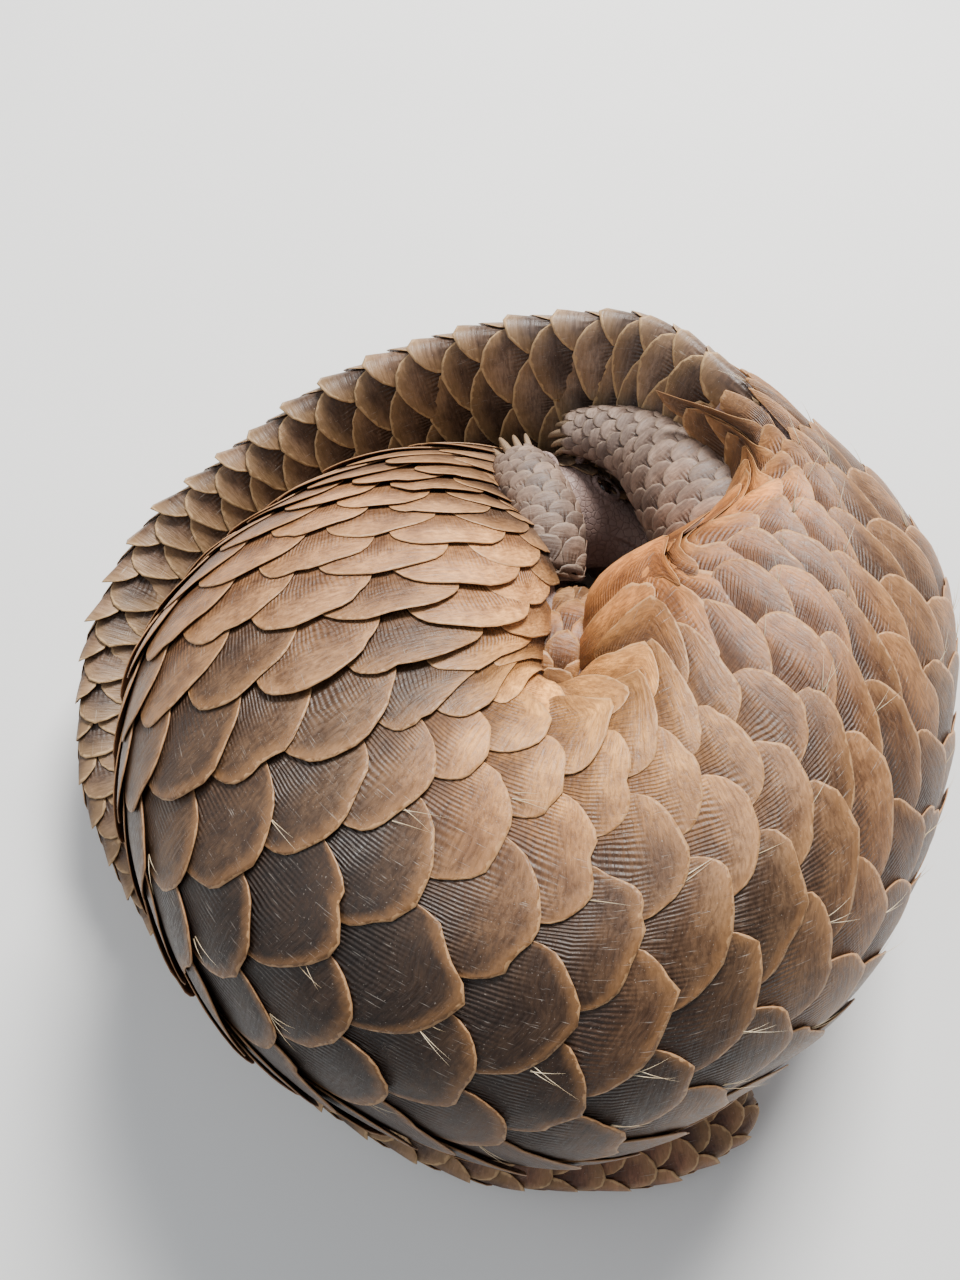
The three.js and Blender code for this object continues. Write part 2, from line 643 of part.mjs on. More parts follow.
for (const [side, turn] of [['right', 1], ['left', -1]]) {
  const lids = new THREE.TorusGeometry(EYE_RADIUS + 0.5, 1.3, 5, 10).scale(1.15, 0.85, 1);
  head = head.add(setOnHead(lids, EYE_PLACE, turn * EYE_ANGLE, 0.1));
  head = head.subtract(setOnHead(ellipsoid([EYE_RADIUS + GAP, EYE_RADIUS + GAP,
    EYE_RADIUS + GAP]), EYE_PLACE, turn * EYE_ANGLE, -1.3));
  addNode(`eye_${side}`, setOnHead(ellipsoid([EYE_RADIUS, EYE_RADIUS, EYE_RADIUS]),
    EYE_PLACE, turn * EYE_ANGLE, -1.3), EYE, 0.15);
  const cup = setOnHead(ellipsoid(EAR_SIZE, 9, 6), EAR_PLACE, turn * EAR_ANGLE, 0.5);
  const hollow = setOnHead(ellipsoid(EAR_SIZE.map((size) => size * 0.68), 8, 5), EAR_PLACE + 0.12,
    turn * EAR_ANGLE, 3.2);
  const canal = ellipsoid([2.6, 2.2, 5], 8, 4);
  head = head.subtract(setOnHead(canal, EAR_PLACE + 0.1, turn * EAR_ANGLE, 0));
  addNode(`ear_${side}`, cup.subtract(hollow).subtract(headCover).subtract(trunkCover), SKIN);
  const nostril = ellipsoid([1.7, 1.1, 2.4], 6, 4);
  head = head.subtract(setOnHead(nostril, NOSTRIL_PLACE, turn * NOSTRIL_ANGLE, 0));
  for (let n = 0; n < MOUTH_STEPS; n += 1) {
    const place = MOUTH_START + (MOUTH_END - MOUTH_START) * n / (MOUTH_STEPS - 1);
    const cut = ellipsoid([3.2, 0.5, 1.1], 6, 4);
    head = head.subtract(setOnHead(cut, place, turn * MOUTH_ANGLE, 0));
  }
}
addNode('head', head, SKIN);

const covers = [trunkCover, headCover, tailCover];
for (const [name, leg] of Object.entries(LEGS)) {
  const legBase = (place, angle) => pathBase(leg.stations, place, angle);
  const last = leg.stations[leg.stations.length - 1].at;
  let limb = null;
  if (leg.plates) {
    const rows = [];
    for (let row = -1; row < last + 0.2; row += LEG_ROW_STEP) rows.push(row);
    limb = toSolid(platedTube(legBase, rows, evenColumns(LEG_COLUMNS),
      (row, angle) => plateRise(legBase, row, angle, LEG_RISE), TAIL_ARCS, 51));
  } else {
    limb = toSolid(plainTube(legBase, 0, last, last * 2, 10));
  }
  const bend = new THREE.Vector3(...leg.bend);
  for (const part of footClaws(legBase, last, bend, leg.clawLength)) limb = limb.add(part);
  for (const cover of covers) limb = limb.subtract(cover);
  addNode(name, limb, HORN);
}

export default pangolin;
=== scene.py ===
# A Sunda pangolin curled up on its left side, life size, dressed over its CAD frame.
# Tables are in millimetres, pieces in metres. X is right, Y away from the viewer, Z up.
import math

import bmesh
import bpy
import numpy as np
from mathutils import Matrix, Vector
from mathutils.kdtree import KDTree


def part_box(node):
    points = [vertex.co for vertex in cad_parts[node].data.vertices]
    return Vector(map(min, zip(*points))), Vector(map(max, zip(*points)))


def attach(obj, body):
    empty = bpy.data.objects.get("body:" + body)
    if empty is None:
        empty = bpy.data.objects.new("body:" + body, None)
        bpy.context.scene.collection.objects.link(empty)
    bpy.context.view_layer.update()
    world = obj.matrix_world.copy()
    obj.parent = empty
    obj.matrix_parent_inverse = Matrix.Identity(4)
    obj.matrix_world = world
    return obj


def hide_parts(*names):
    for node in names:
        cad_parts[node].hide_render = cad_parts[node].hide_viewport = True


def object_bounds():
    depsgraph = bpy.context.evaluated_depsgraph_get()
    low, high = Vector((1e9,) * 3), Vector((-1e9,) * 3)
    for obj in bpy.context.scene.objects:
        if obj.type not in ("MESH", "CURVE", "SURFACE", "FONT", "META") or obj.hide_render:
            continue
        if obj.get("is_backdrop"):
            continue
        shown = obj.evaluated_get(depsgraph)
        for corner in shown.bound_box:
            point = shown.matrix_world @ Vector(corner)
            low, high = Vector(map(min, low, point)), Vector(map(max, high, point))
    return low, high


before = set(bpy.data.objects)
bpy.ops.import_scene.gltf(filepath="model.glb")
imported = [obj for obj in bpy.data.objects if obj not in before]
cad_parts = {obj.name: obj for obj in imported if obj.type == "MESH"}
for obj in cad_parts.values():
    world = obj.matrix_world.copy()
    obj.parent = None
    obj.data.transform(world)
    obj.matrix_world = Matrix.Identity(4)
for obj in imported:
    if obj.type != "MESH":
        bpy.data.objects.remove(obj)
cad_low, cad_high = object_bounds()

# Driving sizes
MM = 0.001
ORIGIN_SHIFT = np.array([13.59, -28.4, 0.0])
PHOTO_SIZE = (960, 1280)
FOCAL_PIXELS = 1250.0
CAMERA_PLACE = (-18.48, -115.62, 477.09)
CAMERA_TILT = 23.0
FLOOR_LIFT = 0.3
SKIN_VOXEL = 0.0022
BOX_GAP = 0.0002
BOX_MARGIN = 0.004

# Plates: how far they reach back and ahead in rows, and the slenderest kept at the hip's inner side
PLATE_LENGTH = 2.85
PLATE_ROOT = 1.9
PLATE_TIP = 0.95
MOST_SLENDER = 2.0
EDGE_CROWDING = 1.8
ROOT_LIFT = 0.25
FLOOR_PRESS = 0.25
THINNING = 0.6

# Trunk sections from the head joint round to the tail base:
# row, back line in plan, belly line in plan, top, bottom, roundness
TRUNK = [
    (-7, (-8, 132), (3, 95), 90, 35, 2.1), (-6, (-28, 130), (-1, 93), 96, 30, 2.1),
    (-5, (-59, 122), (1, 90), 105, 20, 2.2), (-4, (-84, 107), (4, 86), 114, 13, 2.2),
    (-3, (-99, 91), (6, 81), 123, 9, 2.25), (-1, (-119, 67), (9, 64), 134, 10, 2.25),
    (1, (-133, 28), (8, 44), 142, 12, 2.25), (3, (-124, -30), (3, 31), 148, 13, 2.25),
    (5, (-80, -86), (4, 25), 152, 14, 2.25), (7, (4, -113), (7, 24), 154, 12, 2.25),
    (9, (76, -81), (11, 27), 155, 3, 2.25), (11, (115, -32), (10.5, 33), 154, -5, 2.25),
    (13, (133, 17), (11.5, 43), 151, -5, 2.25), (15, (137, 61), (14, 55), 147, -5, 2.25),
    (17, (120, 96), (48, 73), 142, -5, 1.9), (19, (92, 124), (62, 95), 135, -2, 1.6),
    (20, (77, 140), (53, 108), 132, 0, 1.5), (21, (58, 153), (40, 119), 129, 0, 1.5),
    (30, (-113, 270), (-77, 218), 129, 0, 1.5),
]
FLANK_POWER = 2.25
BELLY_POWER = 3.0
HEAD_ROW = -6.0
TAIL_ROW = 20.0
TRUNK_ENDS = (-6.9, 20.4)
PATH_STEP = 0.01

# Tail and head sections: place, centre, direction of the first half size, the two half sizes
TAIL = [
    (-1, (73, 114, 66), (0, 0, 1), (66.5, 22)), (0, (65, 124, 66), (0, 0, 1), (66, 20)),
    (3, (37, 153, 61), (0, 0, 1), (60, 19)), (6, (-12, 160, 54), (0, 0, 1), (53, 18)),
    (9, (-60, 149, 46), (-0.05, 0.1, 1), (45, 16.5)),
    (12, (-99, 125, 38), (-0.2, 0.15, 0.95), (38, 15.5)),
    (15, (-127, 97, 32), (-0.45, 0.2, 0.85), (34, 14.5)),
    (18, (-141, 61, 27), (-0.65, 0.1, 0.75), (31, 13.5)),
    (21, (-140, 25, 23), (-0.8, 0, 0.6), (29, 12.5)),
    (24, (-123, -9, 20), (-0.85, -0.15, 0.5), (28, 12)),
    (27, (-97, -42, 18), (-0.7, -0.55, 0.45), (27, 11.5)),
    (30, (-62, -72, 16), (-0.45, -0.8, 0.42), (26, 11)),
    (33, (-20, -93, 14), (-0.1, -0.9, 0.36), (25, 10.5)),
    (36, (26, -100, 12), (0.05, -0.92, 0.32), (22, 9.5)),
    (39, (66, -92, 10), (0.2, -0.9, 0.3), (15, 8)),
    (40, (76, -89, 9.5), (0.2, -0.9, 0.3), (6, 4)),
]
TAIL_POWER = 1.5
HEAD = [
    (-1, (-25, 104, 62), (-0.7, 0.8, 0), (22, 29)), (0, (-13, 109, 62), (-0.4, 0.95, 0), (22.5, 28)),
    (1, (0, 111, 62), (-0.1, 1, 0), (22.5, 26.5)), (2, (13, 110.5, 62), (0.05, 1, 0), (21, 24.5)),
    (3, (22.5, 108, 61.5), (0.2, 1, 0), (17.5, 20)),
    (4, (31.5, 104.5, 60.5), (0.25, 1, 0), (13.5, 15)),
    (5, (39.5, 100, 59.5), (0.25, 1, 0), (10, 11.5)), (6, (46.5, 95.5, 58.5), (0.25, 1, 0), (8, 9)),
    (6.4, (49, 94, 58), (0.25, 1, 0), (5.5, 6)),
]
# Legs: centre and the half sizes upwards and across
LEGS = {
    "leg_front_right": [((2, 74, 90), (14, 15)), ((4, 86, 96), (11, 13)), ((2, 97, 99), (8.5, 11)),
                        ((-3, 108, 98.5), (7, 10)), ((-7, 116, 97), (4.5, 7.5))],
    "leg_front_left": [((-22, 80, 22), (14, 14)), ((-12, 92, 17), (12, 12)), ((0, 101, 12), (10, 10)),
                       ((11, 107, 10), (8, 9)), ((17, 110, 8), (5, 6))],
    "leg_hind_right": [((66, 78, 100), (20, 22)), ((59, 93, 99), (19, 21)), ((50, 108, 98), (17, 18)),
                       ((40, 120, 95), (13, 14)), ((26, 128, 92), (9, 10)), ((13, 131, 89), (6, 7))],
    "leg_hind_left": [((62, 78, 24), (18, 18)), ((56, 93, 20), (16, 15)), ((47, 107, 15), (12, 12)),
                      ((36, 116, 12), (10, 10)), ((27, 121, 9), (6, 7))],
}
CLAWS = {"leg_front_right": (17, (0.2, 0.2, -1)), "leg_front_left": (14, (0, 0, -0.3)),
         "leg_hind_right": (12, (0.2, 0.1, -1)), "leg_hind_left": (10, (0, 0, -0.3))}
CLAW_SPACING = 3.2
CLAW_RADIUS = 2.3

# The rows of plates run slantwise: at each row the column that lies on the upper flank,
# and how wide the columns are there
SLANT = [
    (-7.2, -4.3, 1.2), (-6, -3.9, 1.2), (-1, -1.35, 1.3), (2, 0.2, 1.42), (4, 1.7, 1.38),
    (6, 4.1, 1.05), (8, 7.5, 0.92), (10, 10.4, 0.95), (13, 13.6, 1.0), (16, 15.2, 1.0), (23, 15.6, 1.0),
]
BELLY_SEAM = -82
COLUMN_START = -20
COLUMN_PERIOD = 46
COLUMN_ANGLES = [(COLUMN_START, BELLY_SEAM), (-8, -6), (0, 45), (4, 80), (12, 119), (26, 278)]
SHOULDER_WIDENING = 18
NARROW_COLUMNS = 0.35
LATTICE_ROWS = range(-6, 22)
LATTICE_COLUMNS = range(-40, 60)

# How the curl moves the rows. Pairs are the turn where something sets in and how far it takes, in degrees
CURL_TURN = (40, 80)
PEAK_TURN = (90, 25)
BACK_TURN = (-30, 60)
UNDERSIDE_TURN = (170, 90)
CURL_RISE = (0.776, 0.233, 0.101)
FIRST_CURLED_ROW = -1.15
PEAK_ROW = 10
PEAK_DROP = 3
BACK_SHARE = 0.6
ROW_OFFSET = 0.55
LOW_CROWDING = 0.22

# Face
EYE_RADIUS = 3.3
EYE_PLACE = 3.1
EYE_ANGLE = 66
EYE_DEPTH = -1.3
EAR_PLACE = 1.35
EAR_ANGLE = 76
EAR_SIZE = (5.5, 7.5, 5)
EAR_LIFT = 0.4
EAR_HOLLOW = 1.15
NOSTRIL_PLACE = 6.15
NOSTRIL_ANGLE = 35
MOUTH_ANGLE = 128
FACE_REACH = 0.0016


def smooth_step(t):
    t = np.clip(t, 0.0, 1.0)
    return t * t * (3.0 - 2.0 * t)


def set_in(turn, limits):
    """0 to 1 as a turn passes from the first limit by the second."""
    return smooth_step((turn - limits[0]) / limits[1])


def bell(value, centre, width):
    return np.exp(-((value - centre) / width) ** 2)


def signed_turn(angle):
    """The same direction, from -180 to 180 degrees."""
    return (angle + 180) % 360 - 180


def blend(keys, values, at):
    """Smooth curve through the values at the keys, read at an array of places."""
    keys = np.asarray(keys, float)
    values = np.asarray(values, float)
    slopes = np.zeros_like(values)
    slopes[1:-1] = (values[2:] - values[:-2]) / (keys[2:] - keys[:-2])
    slopes[0] = (values[1] - values[0]) / (keys[1] - keys[0])
    slopes[-1] = (values[-1] - values[-2]) / (keys[-1] - keys[-2])
    k = np.clip(np.searchsorted(keys, at, side="right") - 1, 0, len(keys) - 2)
    span = keys[k + 1] - keys[k]
    t = np.clip((at - keys[k]) / span, 0.0, 1.0)
    ahead = (3 * t**2 - 2 * t**3) * values[k + 1] + (t**3 - t**2) * span * slopes[k + 1]
    return (2 * t**3 - 3 * t**2 + 1) * values[k] + (t**3 - 2 * t**2 + t) * span * slopes[k] + ahead


def read_table(table, column, at):
    """A column of a table as a smooth curve over the first one, read at an array of places."""
    keys = [line[0] for line in table]
    values = np.array([line[column] for line in table], float)
    if values.ndim == 1:
        return blend(keys, values, at)
    return np.stack([blend(keys, part, at) for part in values.T], -1)


def signed_power(value, power):
    return np.sign(value) * np.abs(value) ** (2.0 / power)


def trunk_base(row, angle):
    """Points of the trunk, 0 degrees at the back line and 90 on top."""
    back, belly, top, bottom, power = (read_table(TRUNK, column, row) for column in range(1, 6))
    turn = np.radians(angle)
    power = power + (BELLY_POWER - FLANK_POWER) * smooth_step(0.5 - np.cos(turn))
    across = signed_power(np.cos(turn), power)
    up = signed_power(np.sin(turn), power)
    plan = (belly + back) / 2 + (back - belly) * 0.5 * across[..., None]
    height = 0.5 * (top + bottom) + 0.5 * (top - bottom) * up
    return np.concatenate([plan, height[..., None]], -1)


def unit(vectors):
    return vectors / (np.linalg.norm(vectors, axis=-1, keepdims=True) + 1e-12)


def unit_across(vectors, axes):
    """Unit vectors made square to their axes."""
    return unit(vectors - axes * (vectors * axes).sum(-1, keepdims=True))


def path_base(stations, place, angle, power=2.0):
    """Points of a tube along a path, with an oval section."""
    centre, ahead, behind = (read_table(stations, 1, place + step) for step in (0, PATH_STEP, -PATH_STEP))
    along = unit(ahead - behind)
    first = unit_across(read_table(stations, 2, place), along)
    second = np.cross(along, first)
    turn = np.radians(angle)
    half = read_table(stations, 3, place)
    half_first = half[..., 0] * signed_power(np.cos(turn), power)
    half_second = half[..., 1] * signed_power(np.sin(turn), power)
    return centre + first * half_first[..., None] + second * half_second[..., None]


def tail_base(place, angle):
    return path_base(TAIL, place, angle, TAIL_POWER)


def head_base(place, angle):
    return path_base(HEAD, place, angle)


def even_stations(sections, side):
    """Stations of a path from its sections' centres and half sizes, one place apart."""
    return [(index, tuple(centre), side, size) for index, (centre, size) in enumerate(sections)]


def leg_base(name):
    stations = even_stations(LEGS[name], (0, 0, 1))
    return lambda place, angle: path_base(stations, place, angle)


def surface_cross(base, place, angle, step=0.05):
    along = base(place + step, angle) - base(place - step, angle)
    around = base(place, angle + 1.0) - base(place, angle - 1.0)
    return np.cross(around, along)


def outward(base, place, angle):
    """Outward direction of a surface at places and angles on it."""
    normal = unit(surface_cross(base, place, angle))
    probe = np.full(8, float(np.mean(place)))
    turns = np.arange(8) * 45.0
    ring = base(probe, turns)
    facing = (surface_cross(base, probe, turns) * (ring - ring.mean(0))).sum()
    return normal if facing > 0 else -normal


def settle_in_frame(points):
    """Millimetres to metres in the part's frame, resting on the floor and inside the CAD box.

    Near the box's sides and top, what would reach out is pressed in softly, and nothing is cut flat.
    """
    placed = (points + ORIGIN_SHIFT) * MM
    low = np.array(cad_low) + BOX_GAP
    high = np.array(cad_high) - BOX_GAP
    over = np.maximum(placed - (high - BOX_MARGIN), 0.0)
    placed = np.where(over > 0, high - BOX_MARGIN * np.exp(-over / BOX_MARGIN), placed)
    under = np.maximum(low + BOX_MARGIN - placed, 0.0)
    under[:, 2] = 0.0
    placed = np.where(under > 0, low + BOX_MARGIN * np.exp(-under / BOX_MARGIN), placed)
    return np.maximum(placed, low)


# Places of the trunk's plates
BACK_PLACES = np.linspace(-7.4, 30, 900)
BACK_LINE = trunk_base(BACK_PLACES, np.zeros_like(BACK_PLACES))
BACK_LENGTHS = np.concatenate([[0], np.cumsum(np.linalg.norm(np.diff(BACK_LINE, axis=0), axis=1))])
BACK_START = np.interp(HEAD_ROW, BACK_PLACES, BACK_LENGTHS)
BACK_END = np.interp(TAIL_ROW, BACK_PLACES, BACK_LENGTHS)


def even_row(row):
    """Place on the trunk where its back line is evenly divided into rows."""
    want = BACK_START + (BACK_END - BACK_START) * (row - HEAD_ROW) / (TAIL_ROW - HEAD_ROW)
    inside = (row > HEAD_ROW) & (row < TAIL_ROW)
    return np.where(inside, np.interp(want, BACK_LENGTHS, BACK_PLACES), row)


def row_shift(row, angle):
    """How far the curl pushes a row along the body: more and more towards the belly."""
    turn = (angle - BELLY_SEAM) % 360 + BELLY_SEAM
    below = set_in(turn, UNDERSIDE_TURN)
    inward = (np.clip((turn - CURL_TURN[0]) / CURL_TURN[1], 0, 1) * (1 - below)) ** 3
    at = np.maximum(FIRST_CURLED_ROW, np.minimum(row, PEAK_ROW - PEAK_DROP * set_in(turn, PEAK_TURN)))
    rise = CURL_RISE[0] + CURL_RISE[1] * at + CURL_RISE[2] * at * at
    start = np.clip((row - HEAD_ROW) / 5, 0, 1)
    back = BACK_SHARE * (1 - set_in(turn, BACK_TURN)) + BACK_SHARE * below
    back = np.clip(back, 0, BACK_SHARE)
    low = np.clip((62 - turn) / 40, 0, 1) + smooth_step((turn - 200) / 60)
    denser = -LOW_CROWDING * np.clip(row, 0, 8) * low
    return denser + ROW_OFFSET * start * (1 - back) + back * (even_row(row) - row) + inward * rise * start


def column_angle(flank, row):
    """Angle of a column: wide over the back and the shoulder's top, narrow where the middle folds in."""
    angle = read_table(COLUMN_ANGLES, 1, flank)
    inner = smooth_step((flank - 6.5) / 4) * (1 - smooth_step((flank - 14) / 12))
    return angle + SHOULDER_WIDENING * inner * (1 - smooth_step((row - 0.5) / 2))


def flank_column(row, column):
    """Columns counted from the upper flank."""
    return column - read_table(SLANT, 1, row) + 4


def trunk_place(row, column):
    """Place and angle on the trunk of a row and column of the lattice."""
    flank = flank_column(row, column)
    turns = np.floor((flank - COLUMN_START) / COLUMN_PERIOD)
    angle = column_angle(flank - COLUMN_PERIOD * turns, row)
    stretch = (read_table(SLANT, 2, row) - 1) * 57.3 * np.sin(np.radians(angle - 80))
    angle = angle + np.where(stretch < 0, NARROW_COLUMNS * stretch, stretch)
    return row + row_shift(row, angle), angle + 360 * turns


def fan_place(row, column):
    """Place on the trunk in the plates' own rows and columns, which lie askew to the lattice."""
    return trunk_place((row - column) / 2, row / 2 + 1.5 * column)


def fan_spot(i, j):
    """The plates' own row and column of a spot of the lattice."""
    return (3 * i + j) / 2, (j - i) / 2


def even_places(start, step, columns):
    """Rows and columns set evenly along and round a tube."""
    return lambda row, column: (start + step * row, 360.0 * column / columns)


# Mesh helpers
def placed_object(name, data):
    thing = bpy.data.objects.new(name, data)
    bpy.context.scene.collection.objects.link(thing)
    return thing


def finished(name, mesh, material, replaced=()):
    """Puts a mesh in the scene as a piece that rides on the body."""
    piece = placed_object(name, mesh)
    mesh.shade_smooth()
    mesh.materials.clear()
    mesh.materials.append(material)
    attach(piece, "root")
    if replaced:
        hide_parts(*replaced)
    return piece


def made_mesh(name, bm):
    mesh = bpy.data.meshes.new(name)
    bm.to_mesh(mesh)
    bm.free()
    return mesh


def joined(name, meshes):
    """One mesh out of several."""
    bm = bmesh.new()
    for mesh in meshes:
        bm.from_mesh(mesh)
    return made_mesh(name, bm)


def plate_form(columns, rows):
    """A flat closed plate: across -1 to 1, along 0 to 1, top at 0 and underside at -1."""
    bm = bmesh.new()
    bmesh.ops.create_grid(bm, x_segments=columns, y_segments=rows, size=1.0)
    made = bmesh.ops.extrude_face_region(bm, geom=bm.faces[:], use_keep_orig=True)["geom"]
    under = [item for item in made if isinstance(item, bmesh.types.BMVert)]
    for vert in bm.verts:
        vert.co.y = (vert.co.y + 1.0) / 2.0
        vert.co.z = 0.0
    bmesh.ops.translate(bm, verts=under, vec=(0, 0, -1))
    bmesh.ops.recalc_face_normals(bm, faces=bm.faces[:])
    return made_mesh("plate form", bm)


def read_points(mesh):
    points = np.zeros(len(mesh.vertices) * 3, np.float32)
    mesh.vertices.foreach_get("co", points)
    return points.reshape(-1, 3).astype(float)


def write_points(mesh, points):
    mesh.vertices.foreach_set("co", points.astype(np.float32).ravel())
    mesh.update()


def write_attribute(mesh, name, values):
    layer = mesh.attributes.new(name, "FLOAT", "POINT")
    layer.data.foreach_set("value", np.ascontiguousarray(values, np.float32).ravel())


def corner_verts(mesh):
    corners = np.zeros(len(mesh.loops), np.int32)
    mesh.loops.foreach_get("vertex_index", corners)
    return corners


def write_map(mesh, name, places):
    """A UV map from a place for each corner of the faces."""
    layer = mesh.uv_layers.new(name=name)
    layer.data.foreach_set("uv", places.astype(np.float32).ravel())


def cell_places(local, count):
    """Places of one form's map, with a cell of its own for each of many copies."""
    cells = math.ceil(math.sqrt(count))
    index = np.arange(count)
    origin = np.stack([index % cells, index // cells], -1) / cells
    return (origin[:, None, :] + local[None, :, :] / cells).reshape(-1, 2)


def plate_outline(across, seeds, look):
    """How far along the plate its free edge lies, with a wavy and slightly chipped rim."""
    corner = look["corner"]
    fan = np.cos(np.abs(across) * math.pi / 2) ** (2.0 / look["fan"])
    wave = np.sin(across * (3.0 + 4.0 * seeds[:, 0:1]) + 6.3 * seeds[:, 1:2])
    wave = wave + 0.6 * np.sin(across * (9.0 + 5.0 * seeds[:, 2:3]) + 6.3 * seeds[:, 3:4])
    chip = bell(across, 1.6 * (seeds[:, 4:5] - 0.5), 0.09) * (seeds[:, 5:6] > 0.45)
    chip = chip + 0.7 * bell(across, 1.7 * (seeds[:, 6:7] - 0.5), 0.06) * (seeds[:, 7:8] > 0.6)
    shape = (1 - corner) * fan * (1 + look["wave"] * wave) - look["chip"] * chip * fan
    point = look.get("point", 0.0) * (1 - np.abs(across)) ** 2
    return corner + shape + point * (1 - corner)


def plate_size(base, settle, row, column):
    """Length and width in mm of the plates at rows and columns."""
    root, tip, left, right = (base(*settle(row + ahead, column + beside))
                              for ahead, beside in ((-PLATE_ROOT, 0), (PLATE_TIP, 0), (0, -1), (0, 1)))
    return np.linalg.norm(tip - root, axis=-1), np.linalg.norm(right - left, axis=-1)


def lay_plates(name, base, settle, spots, form, look, seed, material):
    """One joined piece of overlapping plates, one at each (row, column) spot."""
    count = len(spots)
    rows, columns = np.array(spots, float).T[..., None]
    seeds = np.random.default_rng(seed).random((count, 12))
    across, along, depth = read_points(form).T[:, None, :]
    under = -depth
    side = np.sign(across) * np.abs(np.sin(across * math.pi / 2)) ** (2.0 / look["fan"])
    outline = plate_outline(across + np.zeros((count, 1)), seeds, look)
    near_edge = 1 - (1 - along) ** EDGE_CROWDING
    t = near_edge * outline
    narrow = look["narrow"] + (1 - look["narrow"]) * smooth_step(t / look["corner"])
    row = rows - PLATE_ROOT + PLATE_LENGTH * t + look["jitter"] * (seeds[:, 8:9] - 0.5) * t
    column = columns + side * narrow * look["width"] + look["jitter"] * (seeds[:, 9:10] - 0.5) * t
    place, angle = settle(row.ravel(), column.ravel())
    normals = outward(base, place, angle)
    centres = (rows.ravel(), columns.ravel())
    length, width = (size[:, None] for size in plate_size(base, settle, *centres))
    rise = np.minimum(look["rise"], look["slope"] * length) * (0.85 + 0.3 * seeds[:, 10:11])
    spread = look["lift"](*settle(*centres))[:, None] if "lift" in look else 0.0
    lift = ROOT_LIFT + (rise - ROOT_LIFT) * t + look["bow"] * rise * (1 - side**2) * t + spread * t**2
    thick = np.minimum(look["thick"], 0.3 * rise) * (1 - THINNING * t)
    lift = (lift - under * thick).ravel()
    points = base(place, angle) + normals * lift[:, None]
    points[:, 2] = np.maximum(points[:, 2], FLOOR_LIFT + FLOOR_PRESS * lift)
    mesh = joined(name, [form] * count)
    write_points(mesh, settle_in_frame(points))
    edge = np.minimum((1 - near_edge) * outline * length, (1.02 - np.abs(side)) * width)
    for label, values in (("edge", edge), ("along", t), ("under", under), ("tone", seeds[:, 11:12])):
        write_attribute(mesh, label, values + 0 * edge)
    grain = np.stack([side * width / 2 + 400 * seeds[:, 0:1], t * length + 400 * seeds[:, 1:2]], -1)
    write_map(mesh, "Plate", grain.reshape(-1, 2)[corner_verts(mesh)])
    write_map(mesh, "OFBake", np.clip(cell_places(plate_patch(form), count), 0, 1))
    turn_outward(mesh, normals, form)
    return finished(name, mesh, material)


def plate_patch(form):
    """Places of a plate's corners in its cell: top, underside beside it, and rim round the top."""
    unit_form = read_points(form)
    hidden = unit_form[:, 2] < -0.5
    top = np.stack([(unit_form[:, 0] + 1) * 0.37 + 0.03, unit_form[:, 1] * 0.9 + 0.05], -1)
    beside = np.stack([(unit_form[:, 0] + 1) * 0.07 + 0.83, unit_form[:, 1] * 0.9 + 0.05], -1)
    corners = corner_verts(form)
    local = np.where(hidden[:, None], beside, top)[corners]
    for face in form.polygons:
        if len({bool(hidden[v]) for v in face.vertices}) < 2:
            continue
        for loop in face.loop_indices:
            vert = corners[loop]
            away = np.array([unit_form[vert][0], 2 * unit_form[vert][1] - 1])
            grow = 0.02 if hidden[vert] else 0.0
            local[loop] = top[vert] + grow * np.sign(np.round(away, 3)) * (np.abs(away) > 0.99)
    return local


def turn_outward(mesh, normals, form):
    """Turns the faces round if the surface runs the other way from the flat form."""
    points = read_points(mesh)
    unit_form = read_points(form)
    score = 0.0
    for face in mesh.polygons[:len(form.polygons)]:
        verts = [v for v in face.vertices if v < len(unit_form)]
        if all(unit_form[v][2] > -0.5 for v in verts):
            a, b, c = (points[v] for v in verts[:3])
            score += float(np.dot(np.cross(b - a, c - a), normals[verts[0]]))
    if score < 0:
        mesh.flip_normals()


def spots_where(rows, columns, keep=lambda i, j: True):
    """Spots of a staggered pattern of plates that satisfy a test."""
    return [(i, j) for i in rows for j in columns if (i + j) % 2 == 0 and keep(i, j)]


# Materials
def new_material(name):
    material = bpy.data.materials.new(name)
    material.use_nodes = True
    material.node_tree.nodes.clear()
    return material, material.node_tree


def add_node(tree, kind, values=None, **settings):
    node = tree.nodes.new(kind)
    for key, value in settings.items():
        setattr(node, key, value)
    for key, value in (values or {}).items():
        node.inputs[key].default_value = value
    return node


def link(tree, value, socket):
    """Feeds a socket from another one, or with a constant."""
    if isinstance(value, bpy.types.NodeSocket):
        tree.links.new(value, socket)
    else:
        socket.default_value = value


def mixed(tree, share, first, second, mode="MIX"):
    """A colour mix. share, first and second are sockets or values."""
    node = add_node(tree, "ShaderNodeMix", data_type="RGBA", blend_type=mode)
    for index, value in ((0, share), (6, first), (7, second)):
        link(tree, value, node.inputs[index])
    return node.outputs[2]


def stained(tree, base, mask, strength, shade):
    """The base with a colour laid over it where a mask is bright."""
    return mixed(tree, maths(tree, "MULTIPLY", mask, strength), base, shade)


def maths(tree, operation, first, second=0.0, kind="Math", output=0):
    """An operation on two sockets or values, which are vectors for the kind VectorMath."""
    node = add_node(tree, "ShaderNode" + kind, operation=operation)
    for socket, value in zip(node.inputs, (first, second)):
        link(tree, value, socket)
    return node.outputs[output]


def ranged(tree, value, low, high, to_low=0.0, to_high=1.0):
    node = add_node(tree, "ShaderNodeMapRange",
                    {"From Min": low, "From Max": high, "To Min": to_low, "To Max": to_high},
                    interpolation_type="SMOOTHSTEP")
    link(tree, value, node.inputs["Value"])
    return node.outputs[0]


